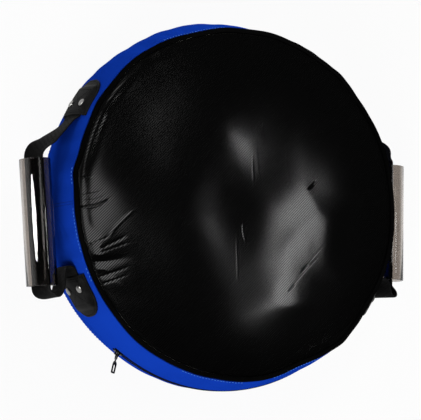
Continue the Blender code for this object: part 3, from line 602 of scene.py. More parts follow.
def dress(made, body, slot_name, *nodes):
    """Put a finished piece on its body, hide the CAD nodes that it stands for, and print its triangles.
    slot_name is not used.
    """
    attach(made, body)
    if nodes:
        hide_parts(*nodes)
    count = sum(len(p.vertices) - 2 for p in made.data.polygons)
    print(f"{made.name}: {count} triangles on {body}")
    return made


# %% [markdown]
# ## The striking face
# The face is one disc of vinyl over foam. The foam crowns it, hands have dented it, and the seam
# gathers its edge into short radial folds. A grid of nearly even squares, bent round to a circle,
# takes these forms well, better than rings whose cells shrink to a point in the middle.

# %% Forms of the face: crown, dents and gathers
FACE_EDGE = piping_centre(FACE_SEAM_RADIUS) - PIPING_RADIUS - GAP
FACE_CELLS = 104

# Each dent: x, y, depth, half length, half width (mm), turn (degrees). A negative depth is a swell.
FACE_DENTS = (
    (5, 30, 3, 100, 65, 15),
    (-40, 5, 3, 120, 50, 110),
    (30, 100, 2.5, 50, 70, 0),
    (90, -90, 1, 120, 65, 100),
    (75, -115, -1.5, 55, 35, 25),
    (125, -35, -1.5, 35, 25, 80),
    (85, -45, -1, 30, 20, 45),
    (-120, 65, 3, 110, 50, 90),
    (-160, 45, 3, 40, 60, 85),
    (-165, 100, 2, 40, 45, -50),
    (-140, -80, 2, 115, 55, -40),
    (-215, -70, -2, 35, 20, 0),
    (-210, -115, -1, 70, 20, 10),
)
# Each fold at the rim: angle (degrees), how far in it reaches, width, depth (mm), slant (degrees).
RIM_FOLDS = (
    (202.4, 56, 4.6, 5.6, 5),
    (54, 30, 7, 2.2, -6), (60, 34, 7, 1.8, 5), (66, 36, 7, 2.2, 4), (72, 32, 7, 1.6, 3),
    (48, 26, 6, 1.6, 0), (41, 24, 6, 1.6, 0), (33, 22, 6, 1.4, 0), (24, 22, 7, 1.4, 0),
    (290, 44, 7, 0.45, 10), (296, 40, 7, 0.4, 8), (302, 42, 7, 0.45, 9), (308, 38, 7, 0.4, 7),
    (314, 32, 7, 0.4, 6), (261, 30, 7, 1.1, 0), (267, 34, 7, 1.0, 0), (273, 28, 7, 0.9, 0),
    (240, 26, 7, 1.0, 0), (250, 26, 7, 1.0, 0), (324, 26, 7, 1.4, 0), (335, 22, 7, 1.2, 0),
    (100, 24, 8, 1.0, 0), (112, 24, 8, 1.0, 0), (126, 22, 8, 1.0, 0), (150, 20, 8, 1.0, 0),
)
CROWN_POWER = 2.3
DENTS_FADE_FROM = 0.93
SLANT_REACH = 60
# A fold sinks by the first share of its depth, and the vinyl beside it rises by the second.
FOLD_SINKS = 0.35
FOLD_BANKS = 0.08
BANK_PLACE = 1.9


def face_height(x, y):
    """The height of the face's skin over the floor, for arrays of x and y in metres."""
    radius = np.hypot(x, y)
    share = np.clip(radius / FACE_EDGE, 0, 1)
    height = SEAM_HEIGHT + FACE_RIM_RISE + FACE_CROWN * (1 - share**CROWN_POWER)
    fade = 1 - smooth_step((share - DENTS_FADE_FROM) / (1 - DENTS_FADE_FROM))
    for dent_x, dent_y, depth, length, width, turn in FACE_DENTS:
        c, s = math.cos(math.radians(turn)), math.sin(math.radians(turn))
        dx, dy = x / MM - dent_x, y / MM - dent_y
        along, across = (dx * c + dy * s) / length, (dy * c - dx * s) / width
        height = height - fade * depth * MM * np.exp(-(along**2) - across**2)
    angle = np.degrees(np.arctan2(y, x))
    inward = (FACE_EDGE - radius) / MM
    for fold_angle, reach, width, depth, slant in RIM_FOLDS:
        off = np.radians(off_turn(angle, fold_angle + slant * inward / SLANT_REACH)) * radius / MM
        strength = depth * MM * smooth_step((inward + 1) / 4) * (1 - smooth_step(inward / reach))
        bank = bell((np.abs(off) - BANK_PLACE * width) / width)
        height = height + strength * (FOLD_BANKS * bank - FOLD_SINKS * bell(off / width))
    return height


def disc_grid(cells):
    """Points of an even square grid bent round to a circle of radius 1."""
    line = np.linspace(-1, 1, cells + 1)
    a, b = np.meshgrid(line, line, indexing="ij")
    reach = np.maximum(np.abs(a), np.abs(b))
    length = np.hypot(a, b)
    to_circle = np.divide(reach, length, out=np.ones_like(reach), where=length > 0)
    scale = 1 + (to_circle - 1) * reach**2
    return a * scale, b * scale


print("dents", len(FACE_DENTS), "folds", len(RIM_FOLDS))

# %% [markdown]
# ## Letting the cloth settle
# Real vinyl finds its own balance between the air and foam under it and the seam that holds it. The
# Cloth modifier does this step: the edge is pinned, a light pressure pushes from inside, and after
# twenty frames the result is kept, with each point's move capped so the size stays true.

# %% Cloth helper
CLOTH_FRAMES = 20
CLOTH_SETTINGS = {
    "quality": 6, "mass": 0.4, "tension_stiffness": 25, "compression_stiffness": 25,
    "shear_stiffness": 8, "bending_stiffness": 1.2, "use_pressure": True, "vertex_group_mass": "held",
}


def relax(made, pinned, pressure, cap):
    """Run Cloth on an object, with the given share of pinning for each point, and keep the result."""
    before = np.array([v.co for v in made.data.vertices])
    group = made.vertex_groups.new(name="held")
    for index, weight in enumerate(pinned):
        if weight > 0:
            group.add([index], float(weight), "REPLACE")
    cloth = made.modifiers.new("cloth", "CLOTH")
    for key, value in CLOTH_SETTINGS.items():
        setattr(cloth.settings, key, value)
    cloth.settings.uniform_pressure_force = pressure
    cloth.settings.effector_weights.gravity = 0
    cloth.collision_settings.use_collision = False
    scene = bpy.context.scene
    cloth.point_cache.frame_start = 1
    cloth.point_cache.frame_end = CLOTH_FRAMES
    for number in range(1, CLOTH_FRAMES + 1):
        scene.frame_set(number)
    graph = bpy.context.evaluated_depsgraph_get()
    settled = made.evaluated_get(graph).to_mesh()
    after = np.array([v.co for v in settled.vertices])
    made.modifiers.clear()
    made.vertex_groups.clear()
    scene.frame_set(1)
    move = after - before
    length = np.linalg.norm(move, axis=1, keepdims=True)
    move = move * np.minimum(1, cap / np.maximum(length, 1e-9))
    after = before + np.nan_to_num(move)
    made.data.vertices.foreach_set("co", after.astype(np.float32).ravel())
    made.data.update()
    print(f"{made.name}: cloth moved points by up to {length.max() / MM:.1f} mm, capped at {cap / MM:.1f}")
    return made


# %% [markdown]
# ## Building the face
# The disc starts from the formula, settles as cloth, is subdivided once and gets its thickness.
# Sculpting would do too, but a formula can be changed and run again. Cloth comes before the
# thickness, because it works on a single sheet.

# %% Build the face
STRETCH_FROM = 0.6
SEWN_RIM = 5 * MM
unit_x, unit_y = disc_grid(FACE_CELLS)
grid_x, grid_y = unit_x * FACE_EDGE, unit_y * FACE_EDGE
top = face_height(grid_x, grid_y)
reach = np.hypot(grid_x, grid_y) / FACE_EDGE
shift = seam_shift(np.arctan2(grid_y, grid_x))
stretch = 1 + shift / FACE_EDGE * smooth_step((reach - STRETCH_FROM) / (1 - STRETCH_FROM))
points = np.stack([grid_x * stretch, grid_y * stretch, top], axis=-1).reshape(-1, 3)
faces = grid_faces(FACE_CELLS + 1, FACE_CELLS + 1)
face_cover = from_lists("face_cover", points, faces, face_vinyl, sharp=180)
inward = (1 - reach.reshape(-1)) * FACE_EDGE
relax(face_cover, 1 - smooth_step(inward / SEWN_RIM), 3.0, 0.35 * MM)
thicken(face_cover)
dress(face_cover, "shield", "face_vinyl", "face_panel")

# %% [markdown]
# ## The filling
# Three foam layers fill the cover. They never show. Each is an outline spun into a block, a few
# millimetres inside the skin, and the top one is crowned like the face.

# %% Foam layers
FOAM_ROOM = 10 * MM
FOAM_CROWN = ((0.205, 0.116), (0.15, 0.120), (0.08, 0.123))
for name, low, high, crown in (
    ("back", SKIN + GAP, 26 * MM, ()), ("middle", 27 * MM, 94 * MM, ()),
    ("face", 95 * MM, 114 * MM, FOAM_CROWN),
):
    heights = np.linspace(low, high, 5).tolist()
    side = [(float(wall_radius(z)) - SKIN - FOAM_ROOM, z) for z in heights] + list(crown)
    layer = spin(f"foam_{name}", [(0, low), *side, (0, side[-1][1] + 0.5 * MM)], foam)
    dress(layer, "shield", "foam", f"{name}_foam")

# %% [markdown]
# ## The blue wall
# The wall is one long band, sewn to the face and the back along its edges and to itself at the join.
# The filling bulges it, and the seams pinch it into shallow upright folds. Where patches, straps and
# the zip lie on it, the folds fade away, so that these keep their seat.

# %% Forms of the wall
WALL_LOW = BACK_PIPING_HEIGHT + PIPING_RADIUS + GAP
WALL_HIGH = SEAM_HEIGHT - PIPING_RADIUS - GAP
WALL_TURNS = 396
WALL_ROWS = 26
# Each upright fold: angle (degrees), depth, half width (mm).
WALL_FOLDS = (
    (108, 3.2, 12), (116, 2.4, 9), (124, 3.0, 11), (132, 2.0, 9), (138, 2.2, 8), (95, 2.0, 9),
    (84, 2.2, 9), (76, 1.8, 8), (66, 2.6, 9), (58, 2.2, 8), (50, 2.6, 9), (160, 2.0, 11),
    (168, 1.6, 9), (176, 1.2, 8), (190, 2.0, 10), (198, 1.6, 9), (222, 1.6, 9), (250, 1.4, 10),
    (262, 1.8, 10), (274, 1.6, 9), (285, 2.2, 10), (296, 1.8, 9), (308, 1.8, 9), (318, 2.0, 9),
    (328, 1.8, 9), (10, 1.4, 9), (350, 1.6, 9), (36, 1.2, 8),
)
# Each long crease: from and to angle (degrees), from and to height, depth, half width (mm).
WALL_CREASES = (
    (173, 182.5, 90, 70, 1.2, 5), (184, 198, 76, 106, 1.3, 5), (186, 200, 66, 84, 0.9, 5),
    (160, 174, 96, 80, 0.9, 6), (214, 230, 84, 96, 0.9, 6), (100, 118, 70, 84, 1.0, 7),
)
FOLD_WANDER = 5
FOLD_REACH = 26
LOW_FOLDS = 0.7
WALL_BANKS = 0.45
WALL_BANK_PLACE = 1.8
# Each slow swell of the wall: how many waves go round it, phase, size (mm).
SWELLS = ((3, 1.0, 1.2), (7, 2.0, 0.8), (11, 0.0, 0.5))
SEWN_EDGE = 7 * MM
LIFT_LIMIT = 2.5 * MM
STRAY_FROM = 0.55
# Where the fittings lie: angle from the side or from +X, half width (degrees), half height.
PATCH_PLACE = (33, 11, 31 * MM)
ZIP_PLACE = (270.6, 42, 8 * MM)
FITTING_FADE = 8 * MM


def near_fitting(off_angle, half_angle, fade, off_height, half_height):
    by_angle = 1 - smooth_step((off_angle - half_angle) / fade)
    return by_angle * (1 - smooth_step((np.abs(off_height) - half_height) / FITTING_FADE))


def clear_of_fittings(angle, height):
    """1 where the wall is free, 0 under patches, straps and the zip."""
    free = np.ones_like(height)
    middle, half_angle, half_height = PATCH_PLACE
    for side in (0, 180):
        off = np.abs(np.abs(off_turn(np.degrees(angle), side)) - middle)
        free = free * (1 - near_fitting(off, half_angle, 5, height - HANDLE_HEIGHT, half_height))
    middle, half_angle, half_height = ZIP_PLACE
    off = np.abs(np.degrees(angle) % 360 - middle)
    return free * (1 - near_fitting(off, half_angle, 4, height - ZIP_HEIGHT, half_height))


def wall_lift(angle, height):
    """How far the wall's skin stands in or out of its plain bulge."""
    share = height / SEAM_HEIGHT
    from_top, from_low = WALL_HIGH - height, height - WALL_LOW
    lift = np.zeros_like(height)
    turn = np.degrees(angle)
    reach = np.exp(-from_top / MM / FOLD_REACH) + LOW_FOLDS * np.exp(-from_low / MM / FOLD_REACH)
    for fold_angle, depth, width in WALL_FOLDS:
        off = np.radians(off_turn(turn, fold_angle)) * wall_radius(height) / MM
        off = off + FOLD_WANDER * np.sin(share * 5 + fold_angle)
        bank = bell((np.abs(off) - WALL_BANK_PLACE * width) / width)
        lift = lift - (bell(off / width) - WALL_BANKS * bank) * depth * MM * reach
    for first, last, low, high, depth, width in WALL_CREASES:
        share_along = ((turn - first) % 360) / (last - first)
        inside = np.sin(np.pi * np.clip(share_along, 0, 1))
        off = (height / MM - low - (high - low) * share_along) / width
        lift = lift - depth * MM * inside * bell(off)
    swell = sum(size * np.sin(waves * angle + phase) for waves, phase, size in SWELLS)
    lift = lift + swell * MM * np.sin(np.pi * share)
    edge = smooth_step(from_top / SEWN_EDGE) * smooth_step(from_low / SEWN_EDGE)
    return np.minimum(lift * edge, LIFT_LIMIT) * clear_of_fittings(angle, height)


def wall_skin(angle, height):
    radius = wall_radius(height) + wall_lift(angle, height)
    to_seam = smooth_step((height / SEAM_HEIGHT - STRAY_FROM) / (1 - STRAY_FROM))
    radius = radius + seam_shift(angle) * to_seam * (0.4 + 0.6 * clear_of_fittings(angle, height))
    return around(radius, angle, height)


print("wall folds", len(WALL_FOLDS))

# %% [markdown]
# ## Building the wall
# The real band starts and ends at its join. Here the last column of faces runs back to the first, so
# no gap is left. The rows at the seams and the places under the fittings are held while the cloth
# settles, because patches and zip have to keep touching the skin.

# %% Build the wall
heights = np.linspace(WALL_LOW, WALL_HIGH, WALL_ROWS + 1)
turn_grid, height_grid = np.meshgrid(WALL_JOIN_ANGLE + full_turn(WALL_TURNS), heights)
points = wall_skin(turn_grid, height_grid).reshape(-1, 3)
faces = turned_over(grid_faces(WALL_ROWS + 1, WALL_TURNS, close_columns=True))
wall_cover = from_lists("wall_cover", points, faces, blue_vinyl, sharp=180)
held = 1 - smooth_step(np.minimum(height_grid - WALL_LOW, WALL_HIGH - height_grid) / SEWN_EDGE)
held = np.maximum(held, 1 - clear_of_fittings(turn_grid, height_grid)).reshape(-1)
relax(wall_cover, held, 2.0, 1 * MM)
thicken(wall_cover)
dress(wall_cover, "shield", "blue_vinyl", "side_wall")

# %% [markdown]
# ## Piping and back
# Piping is a cord in a folded strip of vinyl, sewn into the seam. A curve with a round bevel could
# draw it, but in a ring of points each part can go in and down with the gathers. The back panel is a
# disc under the filling, a little wavy towards its edge.


# %% Piping and back panel
def piping(name, seam_radius, height, waver):
    """A soft ring in a seam. waver gives how far it moves inward, for an array of angles."""
    turn_grid, side_grid = np.meshgrid(full_turn(480), full_turn(14), indexing="ij")
    move = waver(turn_grid)
    centre = piping_centre(seam_radius) - move
    if height == SEAM_HEIGHT:
        centre = centre + seam_shift(turn_grid)
    thickness = PIPING_RADIUS * (1 + 0.06 * np.sin(23 * turn_grid) * np.cos(side_grid))
    radius = centre + thickness * np.cos(side_grid)
    z = height + thickness * np.sin(side_grid) - 0.5 * move
    points = around(radius, turn_grid, z).reshape(-1, 3)
    faces = grid_faces(*turn_grid.shape, close_rows=True, close_columns=True)
    return solid(name, points, faces, piping_vinyl, sharp=180)


WAVER_SHARE = 0.22
WAVER_DEEPEST = 2.5
WAVER_WIDTH = 2.2


def face_waver(angle):
    """The piping goes in where the face's folds reach it."""
    move = np.zeros_like(angle)
    for fold_angle, _, _, depth, _ in RIM_FOLDS:
        off = off_turn(np.degrees(angle), fold_angle)
        move = move + WAVER_SHARE * min(depth, WAVER_DEEPEST) * MM * bell(off / WAVER_WIDTH)
    return move


def back_waver(angle):
    return 0.2 * MM * (1 + np.sin(17 * angle))


face_piping = piping("face_piping_cord", FACE_SEAM_RADIUS, SEAM_HEIGHT, face_waver)
dress(face_piping, "shield", "piping", "face_piping")
back_piping = piping("back_piping_cord", BACK_SEAM_RADIUS, BACK_PIPING_HEIGHT, back_waver)
dress(back_piping, "shield", "piping", "back_piping")

BACK_EDGE = piping_centre(BACK_SEAM_RADIUS) - PIPING_RADIUS - GAP
radii = np.concatenate([np.linspace(0.001, BACK_EDGE - 4 * MM, 40), [BACK_EDGE - 1 * MM, BACK_EDGE]])
radius_grid, turn_grid = np.meshgrid(radii, full_turn(240), indexing="ij")
sag = 0.35 * MM * (1 - np.cos(8 * turn_grid)) * smooth_step((radius_grid / BACK_EDGE - 0.6) / 0.3)
underside, upside = [around(radius_grid, turn_grid, sag + lift) for lift in (0, SKIN)]
back_cover = shell("back_cover", underside, upside, back_vinyl, closed=True)
work = bmesh.new()
work.from_mesh(back_cover.data)
in_middle = [v for v in work.verts if v.co.to_2d().length < 2 * MM]
bmesh.ops.remove_doubles(work, verts=in_middle, dist=0.5 * MM)
work.to_mesh(back_cover.data)
work.free()
dress(back_cover, "shield", "back_vinyl", "back_panel")

# %% [markdown]
# ## Zip lips
# The zip's black tape is sewn to the wall beside the coil and shows as a narrow dark lip on each
# side of it, from the slider to the zip's far end. A small closed outline is swept along the wall,
# because a flat strip would show no thickness at its edge.

# %% Zip lips
# The lip's outline: how far off the zip's line, how far out of the wall (mm).
LIP_OUTLINE = (
    (1.9, 0.35), (2.3, 0.75), (3.2, 0.95), (4.6, 0.9), (5.4, 0.6), (5.6, 0.2), (3.6, -0.4), (1.9, -0.6),
)


def zip_lip(name, side):
    turns = np.linspace(ZIP_START - 0.03, ZIP_END + 0.02, 220)
    off, lift = np.array(LIP_OUTLINE).T * MM
    heights = ZIP_HEIGHT + side * off
    points = around(wall_radius(heights) + lift, turns[:, None], heights).reshape(-1, 3)
    n = len(LIP_OUTLINE)
    faces = turned_over(grid_faces(len(turns), n, close_columns=True))
    faces += [tuple(range(n)), tuple(range(len(points) - 1, len(points) - 1 - n, -1))]
    dress(solid(name, points, faces, zip_tape, sharp=60), "shield", "zip_tape")


zip_lip("zip_lip_front", 1)
zip_lip("zip_lip_rear", -1)

# %% [markdown]
# ## Handles: one route for each strap
# Each strap is one length of webbing: its tail is riveted under the upper patch, it runs down the
# wall's side, curls to pass through the tube, loops back at the bottom and folds under the lower
# patch. The route is a list of points in the handle's own plane, as in the CAD.

# %% Handle routes
BEND_PULL = 20 * MM
LEG_REACH = 6 * MM
FOLD_ROOM = 8 * MM
LANDING_PULL = 9.6 * MM


class Handle:
    """One side's handle. side is -1 for the left one and 1 for the right one."""

    def __init__(self, name, side, reach, y, lean, tilt, loop_bow, leg_below_patch):
        self.name, self.side = name, side
        self.reach, self.y = reach, y
        self.lean, self.tilt = math.radians(lean), math.radians(tilt)
        self.loop_bow, self.leg_below_patch = loop_bow, leg_below_patch

    def place(self, reach, y, across=0.0, tilt=None):
        tilt = self.tilt if tilt is None else tilt
        x = SWING_LINE_RADIUS + reach * math.cos(tilt) + across * math.sin(tilt)
        z = HANDLE_HEIGHT - reach * math.sin(tilt) + across * math.cos(tilt)
        return Vector((self.side * x, y, z))

    def on_wall(self, angle, height, lift):
        radius = wall_radius(height) + lift
        return Vector((self.side * radius * math.cos(angle), radius * math.sin(angle), height))

    def grip_end(self, up):
        half = up * GRIP_LENGTH / 2
        return Vector((self.reach, self.y)) + half * Vector((math.sin(self.lean), math.cos(self.lean)))

    def route(self, tail_points=16, bend_points=60):
        """Points of (reach, y), and which of them leave the wall, enter and leave the grip, and land."""
        radius = float(wall_radius(HANDLE_HEIGHT)) + GAP + WEBBING / 2
        tail_end = PATCH_EDGE_ANGLE + STRAP_TAIL / radius

        def wall_spot(angle):
            return Vector((radius * math.cos(angle) - SWING_LINE_RADIUS, radius * math.sin(angle)))

        def bend(*points):
            return [p.to_2d() for p in interpolate_bezier(*[p.to_3d() for p in points], bend_points)]

        def line(start, end):
            return [start.lerp(end, i / tail_points) for i in range(tail_points + 1)]

        along = Vector((-math.sin(self.lean), -math.cos(self.lean)))
        inward = Vector((-CURL_OFFSET, 0))
        top = self.grip_end(1) + inward - MOUTH_ROOM * along
        bottom = self.grip_end(-1) + inward + MOUTH_ROOM * along
        upper_tail = [wall_spot(a) for a in np.linspace(tail_end, PATCH_EDGE_ANGLE, tail_points + 1)]
        root = upper_tail[-1]
        off_wall = Vector((math.sin(PATCH_EDGE_ANGLE), -math.cos(PATCH_EDGE_ANGLE)))
        upper = bend(root, root + BEND_PULL * off_wall, top - BEND_PULL * along, top)
        leg = Vector((LEG_REACH, wall_spot(-PATCH_EDGE_ANGLE).y - self.leg_below_patch))
        floor = bottom.y - self.loop_bow
        loop = bend(bottom, bottom + self.loop_bow * along, Vector((leg.x, floor)), leg)
        fold_angle = PATCH_EDGE_ANGLE - FOLD_ROOM / radius
        landing = wall_spot(-fold_angle)
        down_wall = Vector((-math.sin(fold_angle), -math.cos(fold_angle)))
        above = Vector((leg.x, landing.y + FOLD_ROOM))
        fold = bend(leg, above, landing - LANDING_PULL * down_wall, landing)
        lower_tail = [wall_spot(-a) for a in np.linspace(fold_angle, tail_end, tail_points + 1)]
        inside = line(top, bottom)
        route = upper_tail + upper[1:] + inside[1:] + loop[1:] + fold[1:] + lower_tail[1:]
        enters = tail_points + bend_points - 1
        leaves = enters + tail_points
        return route, (tail_points, enters, leaves, leaves + 2 * (bend_points - 1))


handles = (
    Handle("left", -1, 36.5 * MM, -36 * MM, 4.6, -3, 17.5 * MM, 2.3 * MM),
    Handle("right", 1, 43.8 * MM, -9.5 * MM, 1.5, 34, 28.3 * MM, -3.7 * MM),
)


def lengths_along(points):
    total = [0.0]
    for a, b in zip(points, points[1:]):
        total.append(total[-1] + (b - a).length)
    return total


def spot_at(points, total, distance):
    for i in range(1, len(points)):
        if total[i] >= distance:
            share = (distance - total[i - 1]) / (total[i] - total[i - 1])
            return points[i - 1].lerp(points[i], share)
    return points[-1].copy()


for handle in handles:
    print(handle.name, "strap is", round(lengths_along(handle.route()[0])[-1], 4), "m long")

# %% [markdown]
# ## Webbing straps
# A strap is a thin shell whose rows follow the route. In the tube the webbing curls across its width,
# and on the wall it lies flat. Each handle needs two pieces, because its middle swings with the
# handle and its two ends stay on the shield.

# %% Strap rows
STRAP_ROW_STEP = 2.2 * MM
STRAP_COLUMNS = 14
UPPER_UNCURL = 30 * MM
LOWER_UNCURL = 14 * MM
UNTWIST = 34 * MM
LEAVE_WALL = 10 * MM
STRAP_LEAN = math.radians(26)
UPPER_ROLL_START = 10 * MM
LOWER_ROLL_START = 50 * MM
EDGE_FROM = 0.93
EDGE_THINS = 0.35
PROBE = 0.6 * MM


def strap_row(handle, route, total, marks, distance):
    """The lower and upper points across the webbing at one place along it."""
    here = spot_at(route, total, distance)
    before = spot_at(route, total, max(distance - PROBE, 0))
    after = spot_at(route, total, min(distance + PROBE, total[-1]))
    heading = (after - before).normalized()
    normal = Vector((-heading.y, heading.x))
    leaves_patch, enters, leaves, lands = (total[mark] for mark in marks)
    if distance < (enters + leaves) / 2:
        off_wall, free_length = distance - leaves_patch, enters - leaves_patch
        uncurled = (enters - distance) / UPPER_UNCURL
        roll_start = UPPER_ROLL_START
    else:
        off_wall, free_length = lands - distance, lands - leaves
        uncurled = (distance - leaves) / LOWER_UNCURL
        roll_start = LOWER_ROLL_START
    flat = float(1 - smooth_step(off_wall / LEAVE_WALL))
    tilt = handle.tilt * float(smooth_step(off_wall / UNTWIST))
    rolled = float(smooth_step((off_wall - roll_start) / (free_length - roll_start)))
    roll = (handle.tilt + STRAP_LEAN) * rolled
    curl = max(CURL_ANGLE * float(1 - smooth_step(uncurled)), math.radians(0.5))
    bend = WEBBING_WIDTH / 2 / curl
    low, high, uv = [], [], []
    for v in np.linspace(-WEBBING_WIDTH / 2, WEBBING_WIDTH / 2, STRAP_COLUMNS + 1).tolist():
        angle = v / bend
        wall_slant = math.atan(float(wall_slope(HANDLE_HEIGHT + v)))
        across = flat * v + (1 - flat) * bend * math.sin(angle)
        bulge = float(wall_radius(HANDLE_HEIGHT + v) - wall_radius(HANDLE_HEIGHT))
        out = flat * bulge + (1 - flat) * bend * (1 - math.cos(angle))
        slant = flat * wall_slant + (1 - flat) * angle
        edge = 1 - EDGE_THINS * max(0.0, abs(v) / (WEBBING_WIDTH / 2) - EDGE_FROM) / (1 - EDGE_FROM)
        for side, points in ((-1, low), (1, high)):
            a = across - side * edge * WEBBING / 2 * math.sin(slant)
            o = out + side * edge * WEBBING / 2 * math.cos(slant) - CURL_OFFSET
            spot = here + (o * math.cos(roll) - a * math.sin(roll) + CURL_OFFSET) * normal
            turned = a * math.cos(roll) + o * math.sin(roll)
            points.append(handle.place(spot.x, spot.y, across=turned, tilt=tilt))
        uv.append((distance, v))
    return low, high, uv


def strap_piece(handle, name, route, total, marks, start, end):
    steps = max(2, round((end - start) / STRAP_ROW_STEP))
    rows = [strap_row(handle, route, total, marks, d) for d in np.linspace(start, end, steps + 1).tolist()]
    return shell(name, [r[0] for r in rows], [r[1] for r in rows], webbing, uv=[r[2] for r in rows], sharp=50)


for handle in handles:
    route, marks = handle.route()
    total = lengths_along(route)
    middle = (total[marks[1]] + total[marks[2]]) / 2
    upper = strap_piece(handle, f"strap_{handle.name}_upper", route, total, marks, 0, middle)
    handle.place(13 * MM, 92 * MM)
    handle.place(30 * MM, 66 * MM)
    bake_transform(upper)
    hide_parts(f"strap_{handle.name}_upper_end", f"strap_{handle.name}_middle")
    lower = strap_piece(handle, f"strap_{handle.name}_lower", route, total, marks, middle, total[-1])
    handle.place(12 * MM, -110 * MM)
    handle.place(3 * MM, -110 * MM)
    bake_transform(lower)
    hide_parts(f"strap_{handle.name}_lower_end")
    print(upper.name, len(upper.data.polygons), lower.name, len(lower.data.polygons))

# %% [markdown]
# ## Clear tube grips
# Each grip is a thick tube with softened ends. It is spun from a rounded outline in the tube's own
# frame and then set in place, point by point, so that its object stays at the origin.


# %% Tubes
def tube_outline():
    half = GRIP_LENGTH / 2
    bore, outer, round_off = GRIP_RADIUS - GRIP_WALL, GRIP_RADIUS, 0.6 * MM
    outline = []
    for r, z, first in (
        (bore + round_off, -half + round_off, 180), (outer - round_off, -half + round_off, 270),
        (outer - round_off, half - round_off, 0), (bore + round_off, half - round_off, 90),
    ):
        for step in range(4):
            turn = math.radians(first + step * 30)
            outline.append((r + round_off * math.cos(turn), z + round_off * math.sin(turn)))
    return outline


TUBE_STEPS = 96
outline = tube_outline()
radii, heights = np.array(outline).T
standing = around(radii, full_turn(TUBE_STEPS)[:, None], heights).reshape(-1, 3)
faces = grid_faces(TUBE_STEPS, len(outline), close_rows=True, close_columns=True)
for handle in handles:
    middle = handle.place(handle.reach, handle.y)
    tip = handle.grip_end(1)
    axis = handle.place(tip.x, tip.y) - middle
    frame_turn = Matrix.Translation(middle) @ axis.to_track_quat("Z", "Y").to_matrix().to_4x4()
    points = [frame_turn @ Vector(p) for p in standing]
    tube = solid(f"grip_{handle.name}", points, faces, smoky_plastic, sharp=60)
    dress(tube, f"{handle.name}_grip", "grip_plastic", f"grip_tube_{handle.name}")

# %% [markdown]
# ## Leather patches
# A patch is a tongue of leather over the webbing's tail: a straight edge towards the handle and a
# rounded end away from it. The leather drapes over the tail, so its height is a smooth step at the
# tail's edges, and its rim is pressed down by the edge stitching.

# %% Patches
TIP_POWER = 2.2


def patch_half_width(along, inset=0.0):
    """Half the width of the patch, or of a line that runs inside its edge, at a place along it."""
    length = PATCH_LENGTH - inset - PATCH_STRAIGHT
    share = min(max(along - PATCH_STRAIGHT, 0) / length, 1.0)
    return (PATCH_WIDTH / 2 - inset) * (1 - share**TIP_POWER) ** (1 / TIP_POWER)


def patch_rise(along, across):
    beside = (abs(across) - WEBBING_WIDTH / 2 - GAP) / DRAPE
    beyond = (along - STRAP_TAIL - LEATHER) / DRAPE
    return (PATCH_LIFT - GAP) * float((1 - smooth_step(beside)) * (1 - smooth_step(beyond)))


def patch_point(handle, up, along, across, lift):
    angle = up * (PATCH_EDGE_ANGLE + along / float(wall_radius(HANDLE_HEIGHT)))
    return handle.on_wall(angle, HANDLE_HEIGHT + across, GAP + patch_rise(along, across) + lift)


PATCH_COLUMNS = 36
tip_turns = np.linspace(0, math.pi / 2, 22)
along_rows = list(np.linspace(0, PATCH_STRAIGHT, 18)[:-1])
along_rows += list(PATCH_STRAIGHT + (PATCH_LENGTH - 0.3 * MM - PATCH_STRAIGHT) * np.sin(tip_turns))
# Each patch: its handle, 1 for the upper and -1 for the lower one, and its label.
PATCHES = [
    (handle, up, f"{handle.name}_{word}") for handle in handles for up, word in ((1, "upper"), (-1, "lower"))
]
# The rim is pressed down and its underside lifts a little. The edge stitching lies in a channel.
RIM_WIDTH = 1.4
RIM_PRESSED = 0.55 * MM
RIM_LIFTS = 0.25 * MM
CHANNEL_PLACE = 3
CHANNEL_WIDTH = 0.9
CHANNEL_DEPTH = 0.35 * MM

for handle, up, label in PATCHES:
    low, high = [], []
    for along in along_rows:
        half = patch_half_width(along)
        low_row, high_row = [], []
        for share in np.linspace(-1, 1, PATCH_COLUMNS + 1):
            across = share * half
            to_edge = min(half - abs(across), along, PATCH_LENGTH - along) / MM
            rim = float(1 - smooth_step(to_edge / RIM_WIDTH))
            channel = float(bell((to_edge - CHANNEL_PLACE) / CHANNEL_WIDTH))
            upside = LEATHER - RIM_PRESSED * rim - CHANNEL_DEPTH * channel
            low_row.append(patch_point(handle, up, along, across, RIM_LIFTS * rim))
            high_row.append(patch_point(handle, up, along, across, upside))
        low.append(low_row)
        high.append(high_row)
    patch = shell(f"patch_cover_{label}", low, high, leather, sharp=50)
    dress(patch, "shield", "leather", f"patch_{label}")

# %% [markdown]
# ## Stitches by Geometry Nodes
# A stitch repeats along a path, so Geometry Nodes make it. The path is a mesh of edges. The tree
# turns it into a curve, spaces points along it, and puts a short rounded thread on each point, lying
# along the path. One tree with named inputs serves every seam.


# %% The stitch tree
def new_tree(name, **inputs):
    """A Geometry Nodes tree with one geometry in and one out, and further inputs by name and kind."""
    tree = bpy.data.node_groups.new(name, "GeometryNodeTree")
    for way in ("INPUT", "OUTPUT"):
        tree.interface.new_socket("Geometry", in_out=way, socket_type="NodeSocketGeometry")
    for label, kind in inputs.items():
        tree.interface.new_socket(label, in_out="INPUT", socket_type=f"NodeSocket{kind}")
    maker = Maker(tree)
    entry = maker.node("NodeGroupInput").socket.node.outputs
    return tree, maker, {socket.name: Link(maker, socket) for socket in entry if socket.name}


def put_on_points(maker, points, piece, turn, finish):
    """Put one piece on each point, make the copies real, and give them their material."""
    sockets = {"Points": points, "Instance": piece, "Rotation": turn}
    placed = maker.node("GeometryNodeInstanceOnPoints", {}, sockets)
    real = maker.node("GeometryNodeRealizeInstances", {}, {"Geometry": placed})
    smooth = maker.node("GeometryNodeSetShadeSmooth", {}, {"Geometry": real})
    done = maker.node("GeometryNodeSetMaterial", {}, {"Geometry": smooth, "Material": finish})
    maker.node("NodeGroupOutput", {}, {"Geometry": done})


def turn_to(maker, direction):
    return maker.node("FunctionNodeAlignRotationToVector", {"axis": "Z"}, {"Vector": direction})


